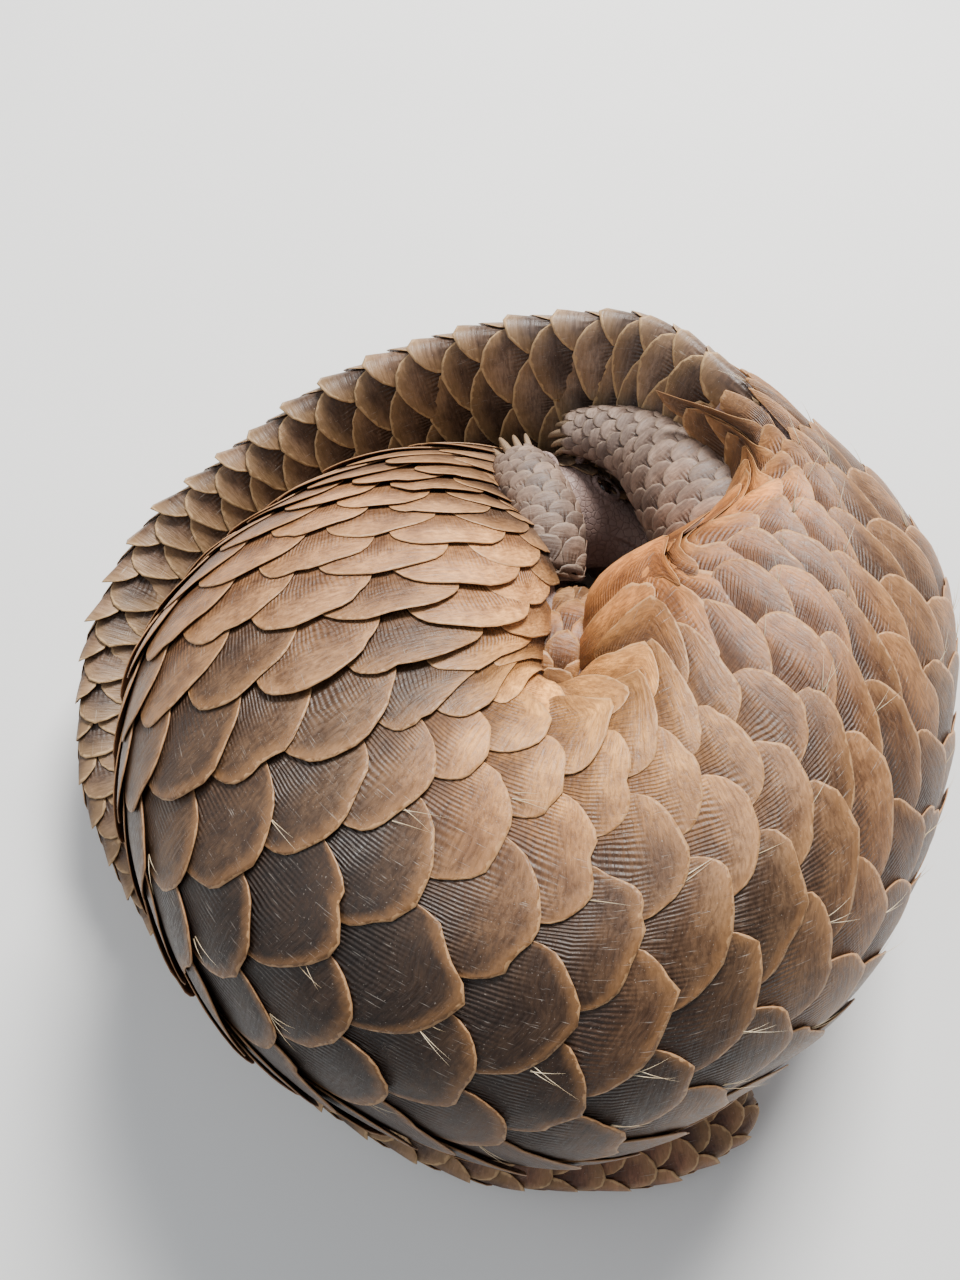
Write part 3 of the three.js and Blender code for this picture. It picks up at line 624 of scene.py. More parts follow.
def noise(tree, vector, scale, detail=3.0, roughness=0.55, distortion=0.0, output="Fac"):
    node = add_node(tree, "ShaderNodeTexNoise", {"Scale": scale, "Detail": detail,
                                                 "Roughness": roughness, "Distortion": distortion})
    link(tree, vector, node.inputs["Vector"])
    return node.outputs[output]


def stretched(tree, vector, scale):
    node = add_node(tree, "ShaderNodeMapping", {"Scale": scale})
    link(tree, vector, node.inputs["Vector"])
    return node.outputs["Vector"]


def object_places(tree):
    return add_node(tree, "ShaderNodeTexCoord").outputs["Object"]


def plate_places(tree):
    return add_node(tree, "ShaderNodeUVMap", uv_map="Plate").outputs["UV"]


def surfaced(material, base, values, roughness=None, height=None, strength=None, distance=None):
    """Closes a material: its shader's constants, and its colour, roughness and relief where they vary."""
    tree = material.node_tree
    shader = add_node(tree, "ShaderNodeBsdfPrincipled", values)
    link(tree, base, shader.inputs["Base Color"])
    if roughness is not None:
        link(tree, roughness, shader.inputs["Roughness"])
    if height is not None:
        bump = add_node(tree, "ShaderNodeBump", {"Strength": strength, "Distance": distance})
        link(tree, height, bump.inputs["Height"])
        link(tree, bump.outputs["Normal"], shader.inputs["Normal"])
    link(tree, shader.outputs[0], add_node(tree, "ShaderNodeOutputMaterial").inputs[0])
    return material


def colour(red, green, blue):
    return (red, green, blue, 1.0)


def new_group(name, inputs, outputs):
    """A node group with named sockets. inputs and outputs are (name, kind, default)."""
    group = bpy.data.node_groups.new(name, "ShaderNodeTree")
    for way, sockets in (("INPUT", inputs), ("OUTPUT", outputs)):
        for label, kind, default in sockets:
            socket = group.interface.new_socket(label, in_out=way, socket_type=kind)
            if default is not None:
                socket.default_value = default
    return group, group.nodes.new("NodeGroupInput"), group.nodes.new("NodeGroupOutput")


def placed_group(tree, group, **sources):
    node = add_node(tree, "ShaderNodeGroup")
    node.node_tree = group
    for label, value in sources.items():
        link(tree, value, node.inputs[label])
    return node.outputs


def photo_spot(pixel, height):
    """Place in the part's frame, in metres, that the photo shows at a pixel, at a height in mm."""
    tilt = math.radians(90 - CAMERA_TILT)
    x = (pixel[0] - PHOTO_SIZE[0] / 2) / FOCAL_PIXELS
    y = (PHOTO_SIZE[1] / 2 - pixel[1]) / FOCAL_PIXELS
    ray = np.array([x, math.cos(tilt) + y * math.sin(tilt), -math.sin(tilt) + y * math.cos(tilt)])
    place = np.array(CAMERA_PLACE)
    reach = (place[2] - height) / -ray[2]
    return tuple((place + ray * reach + ORIGIN_SHIFT) * MM)


# Markings and painted shade: the photo's pixel and the height in mm that give the place, reach in metres,
# strength, colour. The darkest spots, at the lower left, along the bottom and in the fold, are painted
# shade; the rest is the animal's own colour.
MARKINGS_AND_SHADE = [
    ((300, 560), 120, 0.060, 0.8, (0.360, 0.190, 0.085)),
    ((250, 700), 120, 0.050, 0.7, (0.160, 0.095, 0.053)),
    ((330, 960), 110, 0.080, 0.94, (0.022, 0.013, 0.009)),
    ((430, 1050), 90, 0.055, 0.85, (0.042, 0.027, 0.019)),
    ((480, 1130), 90, 0.050, 0.85, (0.048, 0.030, 0.021)),
    ((560, 790), 145, 0.046, 0.75, (0.300, 0.150, 0.056)),
    ((600, 1000), 125, 0.054, 0.92, (0.060, 0.034, 0.020)),
    ((600, 690), 148, 0.040, 0.85, (0.880, 0.470, 0.150)),
    ((700, 530), 140, 0.040, 0.9, (0.720, 0.290, 0.070)),
    ((770, 650), 135, 0.052, 0.85, (0.215, 0.098, 0.036)),
    ((500, 580), 130, 0.026, 0.8, (0.580, 0.310, 0.130)),
    ((568, 648), 115, 0.014, 0.85, (0.240, 0.095, 0.030)),
    ((870, 860), 110, 0.050, 0.8, (0.155, 0.084, 0.045)),
    ((900, 560), 110, 0.034, 0.7, (0.250, 0.120, 0.050)),
    ((790, 440), 110, 0.040, 0.7, (0.230, 0.105, 0.035)),
    ((590, 400), 100, 0.034, 0.8, (0.230, 0.200, 0.190)),
    ((640, 1150), 20, 0.060, 0.9, (0.240, 0.098, 0.043)),
]
HORN_BASE = colour(0.190, 0.118, 0.066)
MARKING_AND_SHADE_WANDER = 0.03
MARKING_AND_SHADE_EDGES = (1.35, 0.35)


def markings_and_shade_group():
    """Colour of the animal from the place on its body, with painted shade darkening the lower left, the
    bottom and the fold, shared by the skin and the plates.
    """
    group, _, exits = new_group("animal markings", [], [("Color", "NodeSocketColor", None)])
    where = object_places(group)
    wander = noise(group, where, 18.0, 2.0, 0.5, output="Color")
    shift = maths(group, "SUBTRACT", wander, (0.5, 0.5, 0.5), "VectorMath")
    shift = maths(group, "MULTIPLY", shift, (MARKING_AND_SHADE_WANDER,) * 3, "VectorMath")
    moved = maths(group, "ADD", where, shift, "VectorMath")
    result = HORN_BASE
    for pixel, height, reach, strength, shade in MARKINGS_AND_SHADE:
        gap = maths(group, "DISTANCE", moved, photo_spot(pixel, height), "VectorMath", "Value")
        share = ranged(group, gap, reach * MARKING_AND_SHADE_EDGES[0], reach * MARKING_AND_SHADE_EDGES[1], 0.0, strength)
        result = mixed(group, share, result, colour(*shade))
    link(group, result, exits.inputs["Color"])
    return group


def horn_group():
    """Relief and wear of a horn plate: fine ribs near its root, cross mottling and scratches."""
    labels = ("Height", "Ribs", "Mottle", "Scratches")
    group, entry, exits = new_group(
        "horn relief", [("Vector", "NodeSocketVector", None), ("Along", "NodeSocketFloat", 0.5)],
        [(label, "NodeSocketFloat", None) for label in labels])
    vector = entry.outputs["Vector"]
    wave = add_node(group, "ShaderNodeTexWave", {"Scale": 0.215, "Distortion": 1.5, "Detail": 2.0,
                                                 "Detail Scale": 0.35, "Detail Roughness": 0.6},
                    wave_type="BANDS", bands_direction="X")
    link(group, stretched(group, vector, (1.0, 0.22, 1.0)), wave.inputs["Vector"])
    fade = ranged(group, entry.outputs["Along"], 0.76, 0.42)
    patchy = ranged(group, noise(group, vector, 0.05), 0.30, 0.60, 0.35, 1.0)
    ribs = maths(group, "MULTIPLY", maths(group, "MULTIPLY", wave.outputs["Fac"], fade), patchy)
    mottle = noise(group, stretched(group, vector, (0.35, 1.0, 1.0)), 0.9, 6.0, 0.65, 0.4)
    growth = noise(group, stretched(group, vector, (0.06, 0.9, 1.0)), 0.8, 3.0)
    streaks = noise(group, stretched(group, vector, (1.6, 0.10, 1.0)), 1.1, 4.0)
    specks = ranged(group, noise(group, vector, 1.5, 2.0), 0.66, 0.74)
    specks = maths(group, "MULTIPLY", specks, 0.8)
    scratches = maths(group, "MAXIMUM", ranged(group, streaks, 0.62, 0.74), specks)
    height = maths(group, "MULTIPLY", ribs, 0.42)
    for relief, share in ((mottle, 0.35), (growth, 0.45), (scratches, -0.15)):
        height = maths(group, "ADD", height, maths(group, "MULTIPLY", relief, share))
    for label, value in zip(labels, (height, ribs, mottle, scratches)):
        link(group, value, exits.inputs[label])
    return group


def attribute(tree, name):
    return add_node(tree, "ShaderNodeAttribute", attribute_name=name).outputs["Fac"]


def horn_material(name, markings_and_shade, horn, rim=colour(0.44, 0.21, 0.075), tint=None, rim_width=1.1,
                  rim_glow=0.60, roughness=0.42):
    """Horn of the plates: the colour by place with its painted shade, mottled and scratched, painted shade
    towards each plate's root, and a pale amber rim that is partly the horn's own colour and partly painted
    glow of light through the thin edge.
    """
    material, tree = new_material(name)
    plate = plate_places(tree)
    along = attribute(tree, "along")
    relief = placed_group(tree, horn, Vector=plate, Along=along)
    base = placed_group(tree, markings_and_shade)["Color"]
    if tint:
        base = mixed(tree, tint[0], base, tint[1])
    tone = ranged(tree, attribute(tree, "tone"), 0.0, 1.0)
    cloud = ranged(tree, noise(tree, plate, 0.10, 3.0), 0.32, 0.66)
    # Painted shade: each plate darker towards its root, where the plate lying over it shades it, and lighter
    # towards its free edge.
    root = ranged(tree, along, 0.42, 0.86)
    mottle = ranged(tree, relief["Mottle"], 0.30, 0.72)
    for share, dark, light in ((tone, colour(0.62, 0.60, 0.60), colour(1.35, 1.30, 1.22)),
                               (cloud, colour(0.66, 0.60, 0.57), colour(1.18, 1.14, 1.08)),
                               (root, colour(0.50, 0.45, 0.42), colour(1.15, 1.12, 1.08)),
                               (mottle, colour(0.62, 0.58, 0.56), colour(1.32, 1.30, 1.26))):
        base = mixed(tree, 1.0, base, mixed(tree, share, dark, light), "MULTIPLY")
    base = stained(tree, base, relief["Ribs"], 0.13, colour(0.09, 0.06, 0.045))
    base = stained(tree, base, relief["Scratches"], 0.40, colour(0.60, 0.52, 0.44))
    wander = ranged(tree, noise(tree, plate, 0.35), 0.3, 0.7, -0.6, 0.6)
    edge = maths(tree, "ADD", attribute(tree, "edge"), wander)
    # The amber rim is partly the horn's own colour and partly painted glow of light shining through the thin
    # edge; the palest band at the very edge is that painted glow.
    base = mixed(tree, ranged(tree, edge, rim_width * 5.0, rim_width * 0.4, 0.0, 0.34), base, rim)
    bright = ranged(tree, edge, rim_width * 0.75, rim_width * 0.30, 0.0, rim_glow)
    base = mixed(tree, bright, base, mixed(tree, 0.25, rim, colour(0.85, 0.62, 0.36)))
    base = stained(tree, base, attribute(tree, "under"), 0.75, colour(0.21, 0.085, 0.040))
    rough = ranged(tree, relief["Mottle"], 0.3, 0.7, roughness - 0.08, roughness + 0.12)
    return surfaced(material, base, {"IOR": 1.42}, rough, relief["Height"], 0.7, 0.0009)


def skin_material(markings_and_shade):
    """Bare skin, pinkish grey, with fine wrinkles and pores, and painted shade along the wrinkles' creases.
    """
    material, tree = new_material("pangolin skin")
    where = object_places(tree)
    base = mixed(tree, 0.22, colour(0.36, 0.245, 0.215), placed_group(tree, markings_and_shade)["Color"])
    patches = ranged(tree, noise(tree, where, 60.0, 4.0), 0.35, 0.68)
    base = mixed(tree, patches, base, colour(0.27, 0.19, 0.17))
    cells = add_node(tree, "ShaderNodeTexVoronoi", {"Scale": 420.0, "Randomness": 1.0},
                     feature="DISTANCE_TO_EDGE")
    link(tree, where, cells.inputs["Vector"])
    creases = ranged(tree, cells.outputs["Distance"], 0.0, 0.12)
    # Painted shade: the skin darker along the creases of its wrinkles.
    base = stained(tree, base, maths(tree, "SUBTRACT", 1.0, creases), 0.4, colour(0.12, 0.075, 0.065))
    height = maths(tree, "ADD", maths(tree, "MULTIPLY", creases, 0.5), noise(tree, where, 210.0, 5.0, 0.6))
    rough = ranged(tree, patches, 0.0, 1.0, 0.50, 0.66)
    return surfaced(material, base, {"IOR": 1.42}, rough, height, 0.6, 0.0007)


def two_toned(name, scale, low, high, first, second, **values):
    """A plain material of two shades that wander into each other."""
    material, tree = new_material(name)
    share = ranged(tree, noise(tree, object_places(tree), scale), low, high)
    return surfaced(material, mixed(tree, share, first, second), values)


def claw_material():
    """Claw horn with grooves along it."""
    material, tree = new_material("claw horn")
    grooves = noise(tree, stretched(tree, plate_places(tree), (14.0, 1.2, 1.0)), 3.0, 3.0)
    share = ranged(tree, grooves, 0.35, 0.65)
    base = mixed(tree, share, colour(0.16, 0.10, 0.065), colour(0.40, 0.28, 0.17))
    rough = ranged(tree, grooves, 0.3, 0.7, 0.30, 0.48)
    return surfaced(material, base, {"IOR": 1.5}, rough, grooves, 0.4, 0.0003)


markings_and_shade = markings_and_shade_group()
horn = horn_group()
body_horn = horn_material("body plates", markings_and_shade, horn)
tail_horn = horn_material("tail plates", markings_and_shade, horn, rim=colour(0.50, 0.30, 0.13),
                          tint=(0.45, colour(0.075, 0.066, 0.072)), rim_width=1.6)
thigh_horn = horn_material("leg plates", markings_and_shade, horn, rim=colour(0.24, 0.175, 0.14),
                           tint=(0.7, colour(0.190, 0.150, 0.140)), rim_width=1.0, rim_glow=0.25,
                           roughness=0.5)
crown_horn = horn_material("head plates", markings_and_shade, horn, rim=colour(0.46, 0.30, 0.16), rim_width=0.8)
bare_skin = skin_material(markings_and_shade)


# Coat of plates
BODY_LOOK = {"fan": 2.2, "wave": 0.040, "chip": 0.050, "narrow": 0.62, "width": 0.86, "jitter": 0.14,
             "rise": 2.8, "slope": 0.095, "bow": 0.16, "thick": 0.95, "corner": 0.5}
TAIL_LOOK = {"fan": 2.0, "wave": 0.02, "chip": 0.03, "narrow": 0.6, "width": 0.97, "jitter": 0.12,
             "rise": 2.2, "slope": 0.10, "bow": 0.2, "thick": 0.8, "point": 0.30, "corner": 0.65}
CROWN_LOOK = {"fan": 2.1, "wave": 0.01, "chip": 0.0, "narrow": 0.6, "width": 0.98, "jitter": 0.14,
              "rise": 1.1, "slope": 0.12, "bow": 0.2, "thick": 0.5, "corner": 0.65}
LEG_LOOK = dict(CROWN_LOOK, fan=2.3, chip=0.01, slope=0.10, bow=0.15)

# Lifts in mm, and where the shoulder's edge and the crease lie: row and turn, each with its reach
PAGE_LIFT = 1.5
PAGE_TURN = (2, 26.0)
CREASE_LIFT = 2.6
CREASE_ROW = (1.3, 0.9)
CREASE_TURN = (106, 24.0)
MARGIN_LIFT = 2.6

# Where the trunk is bare: beyond a turn, from a row on. From the crowded row on, only slender plates go
BARE_HIP = (13, 110)
CROWDED_HIP = (9, 80)
LAST_WIDE_ROW = 7
PLATED_TURNS = (150, 138)


def outline_lift(place, angle):
    """Plates of the shoulder's outer edge stand off like pages, and so do those over the crease."""
    turn = signed_turn(angle)
    along = smooth_step((place + 3.5) / 2.5) * (1 - smooth_step((place - 5.0) / 3.0))
    crease = bell(turn, *CREASE_TURN) * bell(place, *CREASE_ROW)
    return PAGE_LIFT * bell(turn, *PAGE_TURN) * along + CREASE_LIFT * crease


def trunk_spot(i, j):
    place, angle = trunk_place(np.array([float(i)]), np.array([float(j)]))
    return float(place[0]), float(signed_turn(angle[0]))


def slenderness(i, j):
    """Length of the plate at a spot over its width."""
    length, width = plate_size(trunk_base, fan_place, *np.array(fan_spot(i, j))[:, None])
    return float(length[0] / width[0])


def on_trunk(low, high):
    """Test for the spots between two rows that carry plates: not the belly, and not past the tail."""
    def keep(i, j):
        place, turn = trunk_spot(i, j)
        column = float(flank_column(np.array([float(i)]), j)[0])
        in_turn = COLUMN_START <= column < COLUMN_START + COLUMN_PERIOD
        crowded = i > CROWDED_HIP[0] and turn > CROWDED_HIP[1] and slenderness(i, j) > MOST_SLENDER
        bare = i > BARE_HIP[0] and turn > BARE_HIP[1] or crowded
        edge = PLATED_TURNS[0] if i < LAST_WIDE_ROW else PLATED_TURNS[1]
        return in_turn and low <= i < high and place < TRUNK_ENDS[1] and abs(turn) < edge and not bare
    return keep


def trunk_spots(keep):
    """The plates' own rows and columns of the trunk's spots that satisfy a test."""
    return [fan_spot(i, j) for i, j in spots_where(LATTICE_ROWS, LATTICE_COLUMNS, keep)]


body_form = plate_form(16, 6)
tail_form = plate_form(8, 6)
small_form = plate_form(6, 4)
trunk_look = dict(BODY_LOOK, lift=outline_lift)
for name, low, high, seed in (("coat_shoulder", -6, 3, 11), ("coat_middle", 3, 10, 12),
                              ("coat_hip", 10, 22, 13)):
    spots = trunk_spots(on_trunk(low, high))
    lay_plates(name, trunk_base, fan_place, spots, body_form, trunk_look, seed, body_horn)

TAIL_START = -1.2
TAIL_STEP = 0.5
TAIL_COLUMNS = 14


def margin_lift(place, angle):
    """Plates of the tail's two margins stand out as a serrated edge."""
    return MARGIN_LIFT * np.abs(np.cos(np.radians(angle))) ** 8 * smooth_step((place - 1.5) / 3)


far_look = dict(TAIL_LOOK, lift=margin_lift)
near_look = dict(TAIL_LOOK, point=0.05, lift=lambda place, angle: 0.25 * margin_lift(place, angle))
for name, low, high, look, seed in (("coat_tail_near", 42, 83, near_look, 22),
                                    ("coat_tail_far", 0, 42, far_look, 21)):
    spots = spots_where(range(low, high), range(TAIL_COLUMNS))
    lay_plates(name, tail_base, even_places(TAIL_START, TAIL_STEP, TAIL_COLUMNS), spots, tail_form, look,
               seed, tail_horn)

# Up to three bristles grow under a corner of a plate, on the near flank and the hip
BRISTLE_LENGTH = 11.0
BRISTLE_RADIUS = 0.17
BRISTLE_ROOT = (0.70, 0.45)
BRISTLE_DEPTH = 2.1
BRISTLED_ROWS = range(3, 18)
BRISTLED_END = 19
BRISTLED_TURNS = (5, 100)


def bristle_form():
    """A tapered bristle, 0 to 1 long."""
    bm = bmesh.new()
    bmesh.ops.create_cone(bm, cap_ends=True, segments=4, radius1=1.0, radius2=0.25, depth=1.0)
    bmesh.ops.translate(bm, verts=bm.verts[:], vec=(0, 0, 0.5))
    for height in (0.35, 0.7):
        geometry = bm.verts[:] + bm.edges[:] + bm.faces[:]
        bmesh.ops.bisect_plane(bm, geom=geometry, plane_co=(0, 0, height), plane_no=(0, 0, 1))
    bmesh.ops.recalc_face_normals(bm, faces=bm.faces[:])
    return made_mesh("bristle form", bm)


def lay_bristles(name, spots, form, seed, material):
    """One joined piece of bristles, rooted under the corners of the plates at the spots."""
    random = np.random.default_rng(seed)
    roots = [spot for spot in spots for _ in range(random.integers(1, 4))]
    count = len(roots)
    seeds = random.random((count, 6))
    side = np.where(random.random(len(spots)) < 0.5, -BRISTLE_ROOT[1], BRISTLE_ROOT[1])
    corner = dict(zip(spots, side))
    rows = np.array([r[0] + BRISTLE_ROOT[0] for r in roots]) + 0.06 * seeds[:, 0]
    columns = np.array([r[1] + corner[r] for r in roots]) + 0.12 * (seeds[:, 1] - 0.5)
    place, angle = fan_place(rows, columns)
    start = trunk_base(place, angle)
    up = outward(trunk_base, place, angle)
    ahead = trunk_base(*fan_place(rows + 0.3, columns)) - start
    ahead = unit_across(ahead, up)
    across = np.cross(up, ahead)
    ahead = unit(ahead + 0.8 * (seeds[:, 2:3] - 0.5) * across + (0.25 + 0.45 * seeds[:, 3:4]) * up)
    length = BRISTLE_LENGTH * (0.7 + 0.7 * seeds[:, 4:5])
    local = read_points(form)[None, :, :]
    thick = BRISTLE_RADIUS * (1 - 0.75 * local[..., 2:3])
    spine = start[:, None] + (up * BRISTLE_DEPTH)[:, None] + (ahead * length)[:, None] * local[..., 2:3]
    spine = spine - (up * length)[:, None] * 0.18 * local[..., 2:3] ** 2
    points = spine + thick * (local[..., 0:1] * across[:, None] + local[..., 1:2] * up[:, None])
    mesh = joined(name, [form] * count)
    write_points(mesh, settle_in_frame(points.reshape(-1, 3)))
    write_map(mesh, "OFBake", cell_places(bristle_patch(form), count))
    return finished(name, mesh, material)


def bristle_patch(form):
    """Places of a bristle's corners in its cell: rings one inside another, the root's cap beside them."""
    local = read_points(form)
    ring = local[:, :2] / np.linalg.norm(local[:, :2], axis=1, keepdims=True)
    corners = corner_verts(form)
    places = (0.5 + ring * (0.42 - 0.34 * local[:, 2:3]))[corners]
    for face in form.polygons:
        if all(local[v][2] < 0.01 for v in face.vertices):
            for loop in face.loop_indices:
                places[loop] = 0.04 + 0.03 * ring[corners[loop]]
    return places


def on_bristled(i, j):
    """Test for the spots with bristles, thinly strewn."""
    place, turn = trunk_spot(i, j)
    near = BRISTLED_TURNS[0] < turn < BRISTLED_TURNS[1]
    return i in BRISTLED_ROWS and place < BRISTLED_END and near and (3 * i + 5 * j) % 4 < 2


plated = on_trunk(-6, 22)
spots = trunk_spots(lambda i, j: on_bristled(i, j) and plated(i, j))
straw = two_toned("straw bristles", 90.0, 0.35, 0.65, colour(0.62, 0.46, 0.27), colour(0.80, 0.66, 0.45),
                  Roughness=0.4)
lay_bristles("coat_bristles", spots, bristle_form(), 61, straw)

# Small plates close the fold where the shoulder's end meets the middle:
# the photo's pixel and the height that give each station's centre, and its half sizes
FOLD = [((548, 712), 104, (12, 7)), ((556, 680), 106, (19, 10)), ((566, 645), 106, (17, 10)),
        ((584, 606), 97, (10, 7))]
FOLD_START = 0.1
FOLD_STEP = 0.35
FOLD_COLUMNS = 16
fold_stations = even_stations([(np.array(photo_spot(pixel, height)) / MM - ORIGIN_SHIFT, size)
                               for pixel, height, size in FOLD], (1, 0, 0))


def fold_base(place, angle):
    return path_base(fold_stations, place, angle)


fold_look = dict(BODY_LOOK, rise=1.8, wave=0.02, chip=0.02)
spots = spots_where(range(9), range(FOLD_COLUMNS))
lay_plates("fold_plates", fold_base, even_places(FOLD_START, FOLD_STEP, FOLD_COLUMNS), spots, small_form,
           fold_look, 51, body_horn)

HEAD_START = -0.6
HEAD_STEP = 0.30
HEAD_COLUMNS = 26
CROWN_END = 4.4
CROWN_TURN = 60


def on_crown(i, j):
    place = HEAD_START + HEAD_STEP * i
    turn = abs(signed_turn(360.0 * j / HEAD_COLUMNS))
    return place < CROWN_END - 0.5 * (turn / 58) ** 2 and turn < CROWN_TURN


spots = spots_where(range(18), range(HEAD_COLUMNS), on_crown)
lay_plates("crown_plates", head_base, even_places(HEAD_START, HEAD_STEP, HEAD_COLUMNS), spots, small_form,
           CROWN_LOOK, 31, crown_horn)
for name, columns, step, last in (("leg_front_right", 14, 0.26, 3.6), ("leg_hind_right", 18, 0.27, 4.5)):
    spots = spots_where(range(int((last + 1) / step)), range(columns))
    lay_plates(name + "_plates", leg_base(name), even_places(-0.4, step, columns), spots, small_form,
               LEG_LOOK, 41, thigh_horn)


# Skin
def tube_mesh(base, start, end, steps, sides, lift, caps=0.35):
    """Closed tube over a base, with rounded ends."""
    bm = bmesh.new()
    bmesh.ops.create_grid(bm, x_segments=sides, y_segments=steps, size=1.0)
    flat = np.array([v.co[:] for v in bm.verts])
    share = (flat[:, 1] + 1) / 2
    angle = (flat[:, 0] + 1) * 180.0
    place = start + (end - start) * share
    points = base(place, angle) + outward(base, place, angle) * lift
    rings = np.round(share * steps).astype(int)
    for ring in (0, 1, steps - 1, steps):
        here = rings == ring
        middle = points[here].mean(0)
        shrink = 0.0 if ring in (0, steps) else 1.0 - caps
        points[here] = middle + (points[here] - middle) * shrink
    points[:, 2] = np.maximum(points[:, 2], FLOOR_LIFT)
    for vert, point in zip(bm.verts, (points + ORIGIN_SHIFT) * MM):
        vert.co = point
    bmesh.ops.remove_doubles(bm, verts=bm.verts[:], dist=1e-5)
    bmesh.ops.recalc_face_normals(bm, faces=bm.faces[:])
    return made_mesh("tube", bm)


def remeshed(parts, voxel):
    """One closed skin round several overlapping tubes."""
    core = placed_object("skin core", joined("skin core", parts))
    modifier = core.modifiers.new("one skin", "REMESH")
    modifier.mode = "VOXEL"
    modifier.voxel_size = voxel
    graph = bpy.context.evaluated_depsgraph_get()
    skin = bpy.data.meshes.new_from_object(core.evaluated_get(graph))
    bpy.data.objects.remove(core)
    return skin


def face_relief(place, turn):
    """How far the face's skin stands out, in mm: brow, lids, cheek folds, mouth and nostrils."""
    pitch = 13.0 * (1 - 0.22 * smooth_step((place - 2) / 2))
    girth = blend([s[0] for s in HEAD], [0.5 * (s[3][0] + s[3][1]) for s in HEAD], place)
    side = np.abs(turn)
    eye = np.hypot((place - EYE_PLACE) * pitch / 1.15, np.radians(side - EYE_ANGLE) * girth / 0.9)
    relief = 1.3 * bell(eye, 4.3, 1.0) - 3.4 * (1 - smooth_step((eye - 2.2) / 1.3))
    relief = relief + 0.45 * bell(eye, 6.6, 0.6) - 0.35 * bell(eye, 5.6, 0.4)
    relief = relief + 0.9 * (bell(place - EYE_PLACE, -0.1, 0.45) * bell(side, 44, 9.0))
    mouth_length = smooth_step((place - 4.2) / 0.4)
    mouth = bell((side - MOUTH_ANGLE) * np.radians(1) * girth, 0, 0.55)
    lip = bell((side - MOUTH_ANGLE + 9) * np.radians(1) * girth, 0, 0.8)
    relief = relief - 1.2 * mouth * mouth_length + 0.5 * lip * mouth_length
    nostril = np.hypot((place - NOSTRIL_PLACE) * 10.0, np.radians(side - NOSTRIL_ANGLE) * girth)
    relief = relief - 1.8 * bell(nostril, 0, 1.0) + 0.4 * bell(nostril, 2.0, 0.6)
    folds = np.sin(place * 19.0 + 1.5 * np.sin(np.radians(turn) * 3)) * smooth_step((3.0 - place) / 1.5)
    return relief + 0.22 * folds * smooth_step((side - 50) / 20)


def refine_face(mesh):
    """Divides the skin of the head finely and raises its features."""
    places = np.repeat(np.linspace(0.4, 6.4, 130), 180)
    angles = np.tile(np.arange(180) * 2.0, 130)
    samples = settle_in_frame(head_base(places, angles))
    tree = KDTree(len(samples))
    for index, point in enumerate(samples):
        tree.insert(point, index)
    tree.balance()
    bm = bmesh.new()
    bm.from_mesh(mesh)
    for _ in range(2):
        near = set()
        for vert in bm.verts:
            if all(low < at < high for low, at, high in zip(head_low[:2], vert.co, head_high)):
                _, index, gap = tree.find(vert.co)
                if gap < FACE_REACH and places[index] > 2.0:
                    near.add(vert)
        edges = [e for e in bm.edges if e.verts[0] in near and e.verts[1] in near]
        bmesh.ops.subdivide_edges(bm, edges=edges, cuts=1, use_grid_fill=True, smooth=0.0)
    bm.normal_update()
    nearest = [(vert, tree.find(vert.co)) for vert in bm.verts]
    near_verts = [vert for vert, (_, _, gap) in nearest if gap < FACE_REACH]
    found = [index for _, (_, index, gap) in nearest if gap < FACE_REACH]
    place = places[found]
    relief = face_relief(place, signed_turn(angles[found]))
    normals = outward(head_base, place, angles[found])
    target = (head_base(place, angles[found]) + ORIGIN_SHIFT) * MM
    for vert, normal, rise, spot in zip(near_verts, normals, relief, target):
        off = (np.array(vert.co) - spot) @ normal
        vert.co = vert.co + Vector(normal * (rise * MM - off))
    bm.to_mesh(mesh)
    bm.free()


head_low, head_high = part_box("head")
skin_parts = [tube_mesh(trunk_base, *TRUNK_ENDS, 150, 90, -0.9), tube_mesh(tail_base, -1, 40, 220, 48, -0.5),
              tube_mesh(head_base, -1, 6.4, 90, 90, 0.0), tube_mesh(fold_base, 0, 3, 30, 24, -0.4)]
for name, sections in LEGS.items():
    skin_parts.append(tube_mesh(leg_base(name), 0, len(sections) - 1, 30, 32, -0.2))
skin_mesh = remeshed(skin_parts, SKIN_VOXEL)
refine_face(skin_mesh)
skin_mesh.name = "pangolin_skin"
finished("pangolin_skin", skin_mesh, bare_skin, [
    "neck", "torso_shoulder", "torso_middle", "torso_hip", "tail_1", "tail_2", "tail_3", "tail_4", "head",
    "leg_front_right", "leg_front_left", "leg_hind_right", "leg_hind_left"])


# Eyes, ears and claws
def on_head(place, turn, lift):
    """A spot on the head and the directions along it, across it and out of it."""
    at = np.array([float(place)])
    angle = np.array([float(turn)])
    out = outward(head_base, at, angle)[0]
    along = (head_base(at + 0.1, angle) - head_base(at - 0.1, angle))[0]
    along = unit(along - out * np.dot(along, out))
    spot = head_base(at, angle)[0] + out * lift
    return spot, along, np.cross(out, along), out


def shaped_ball(name, size, spot, axes, cup=0.0):
    """A ball drawn out along three axes. cup presses its outer side in as a hollow."""
    bm = bmesh.new()
    bmesh.ops.create_uvsphere(bm, u_segments=32, v_segments=20, radius=1.0)
    for vert in bm.verts:
        x, y, z = vert.co
        if cup:
            inside = max(0.0, 1.0 - (x * x + y * y) / 0.62)
            z = z - cup * inside * (1.0 if z > 0 else 0.0)
        point = spot + axes[0] * x * size[0] + axes[1] * y * size[1] + axes[2] * z * size[2]
        vert.co = (point + ORIGIN_SHIFT) * MM
    bmesh.ops.recalc_face_normals(bm, faces=bm.faces[:])
    return made_mesh(name, bm)


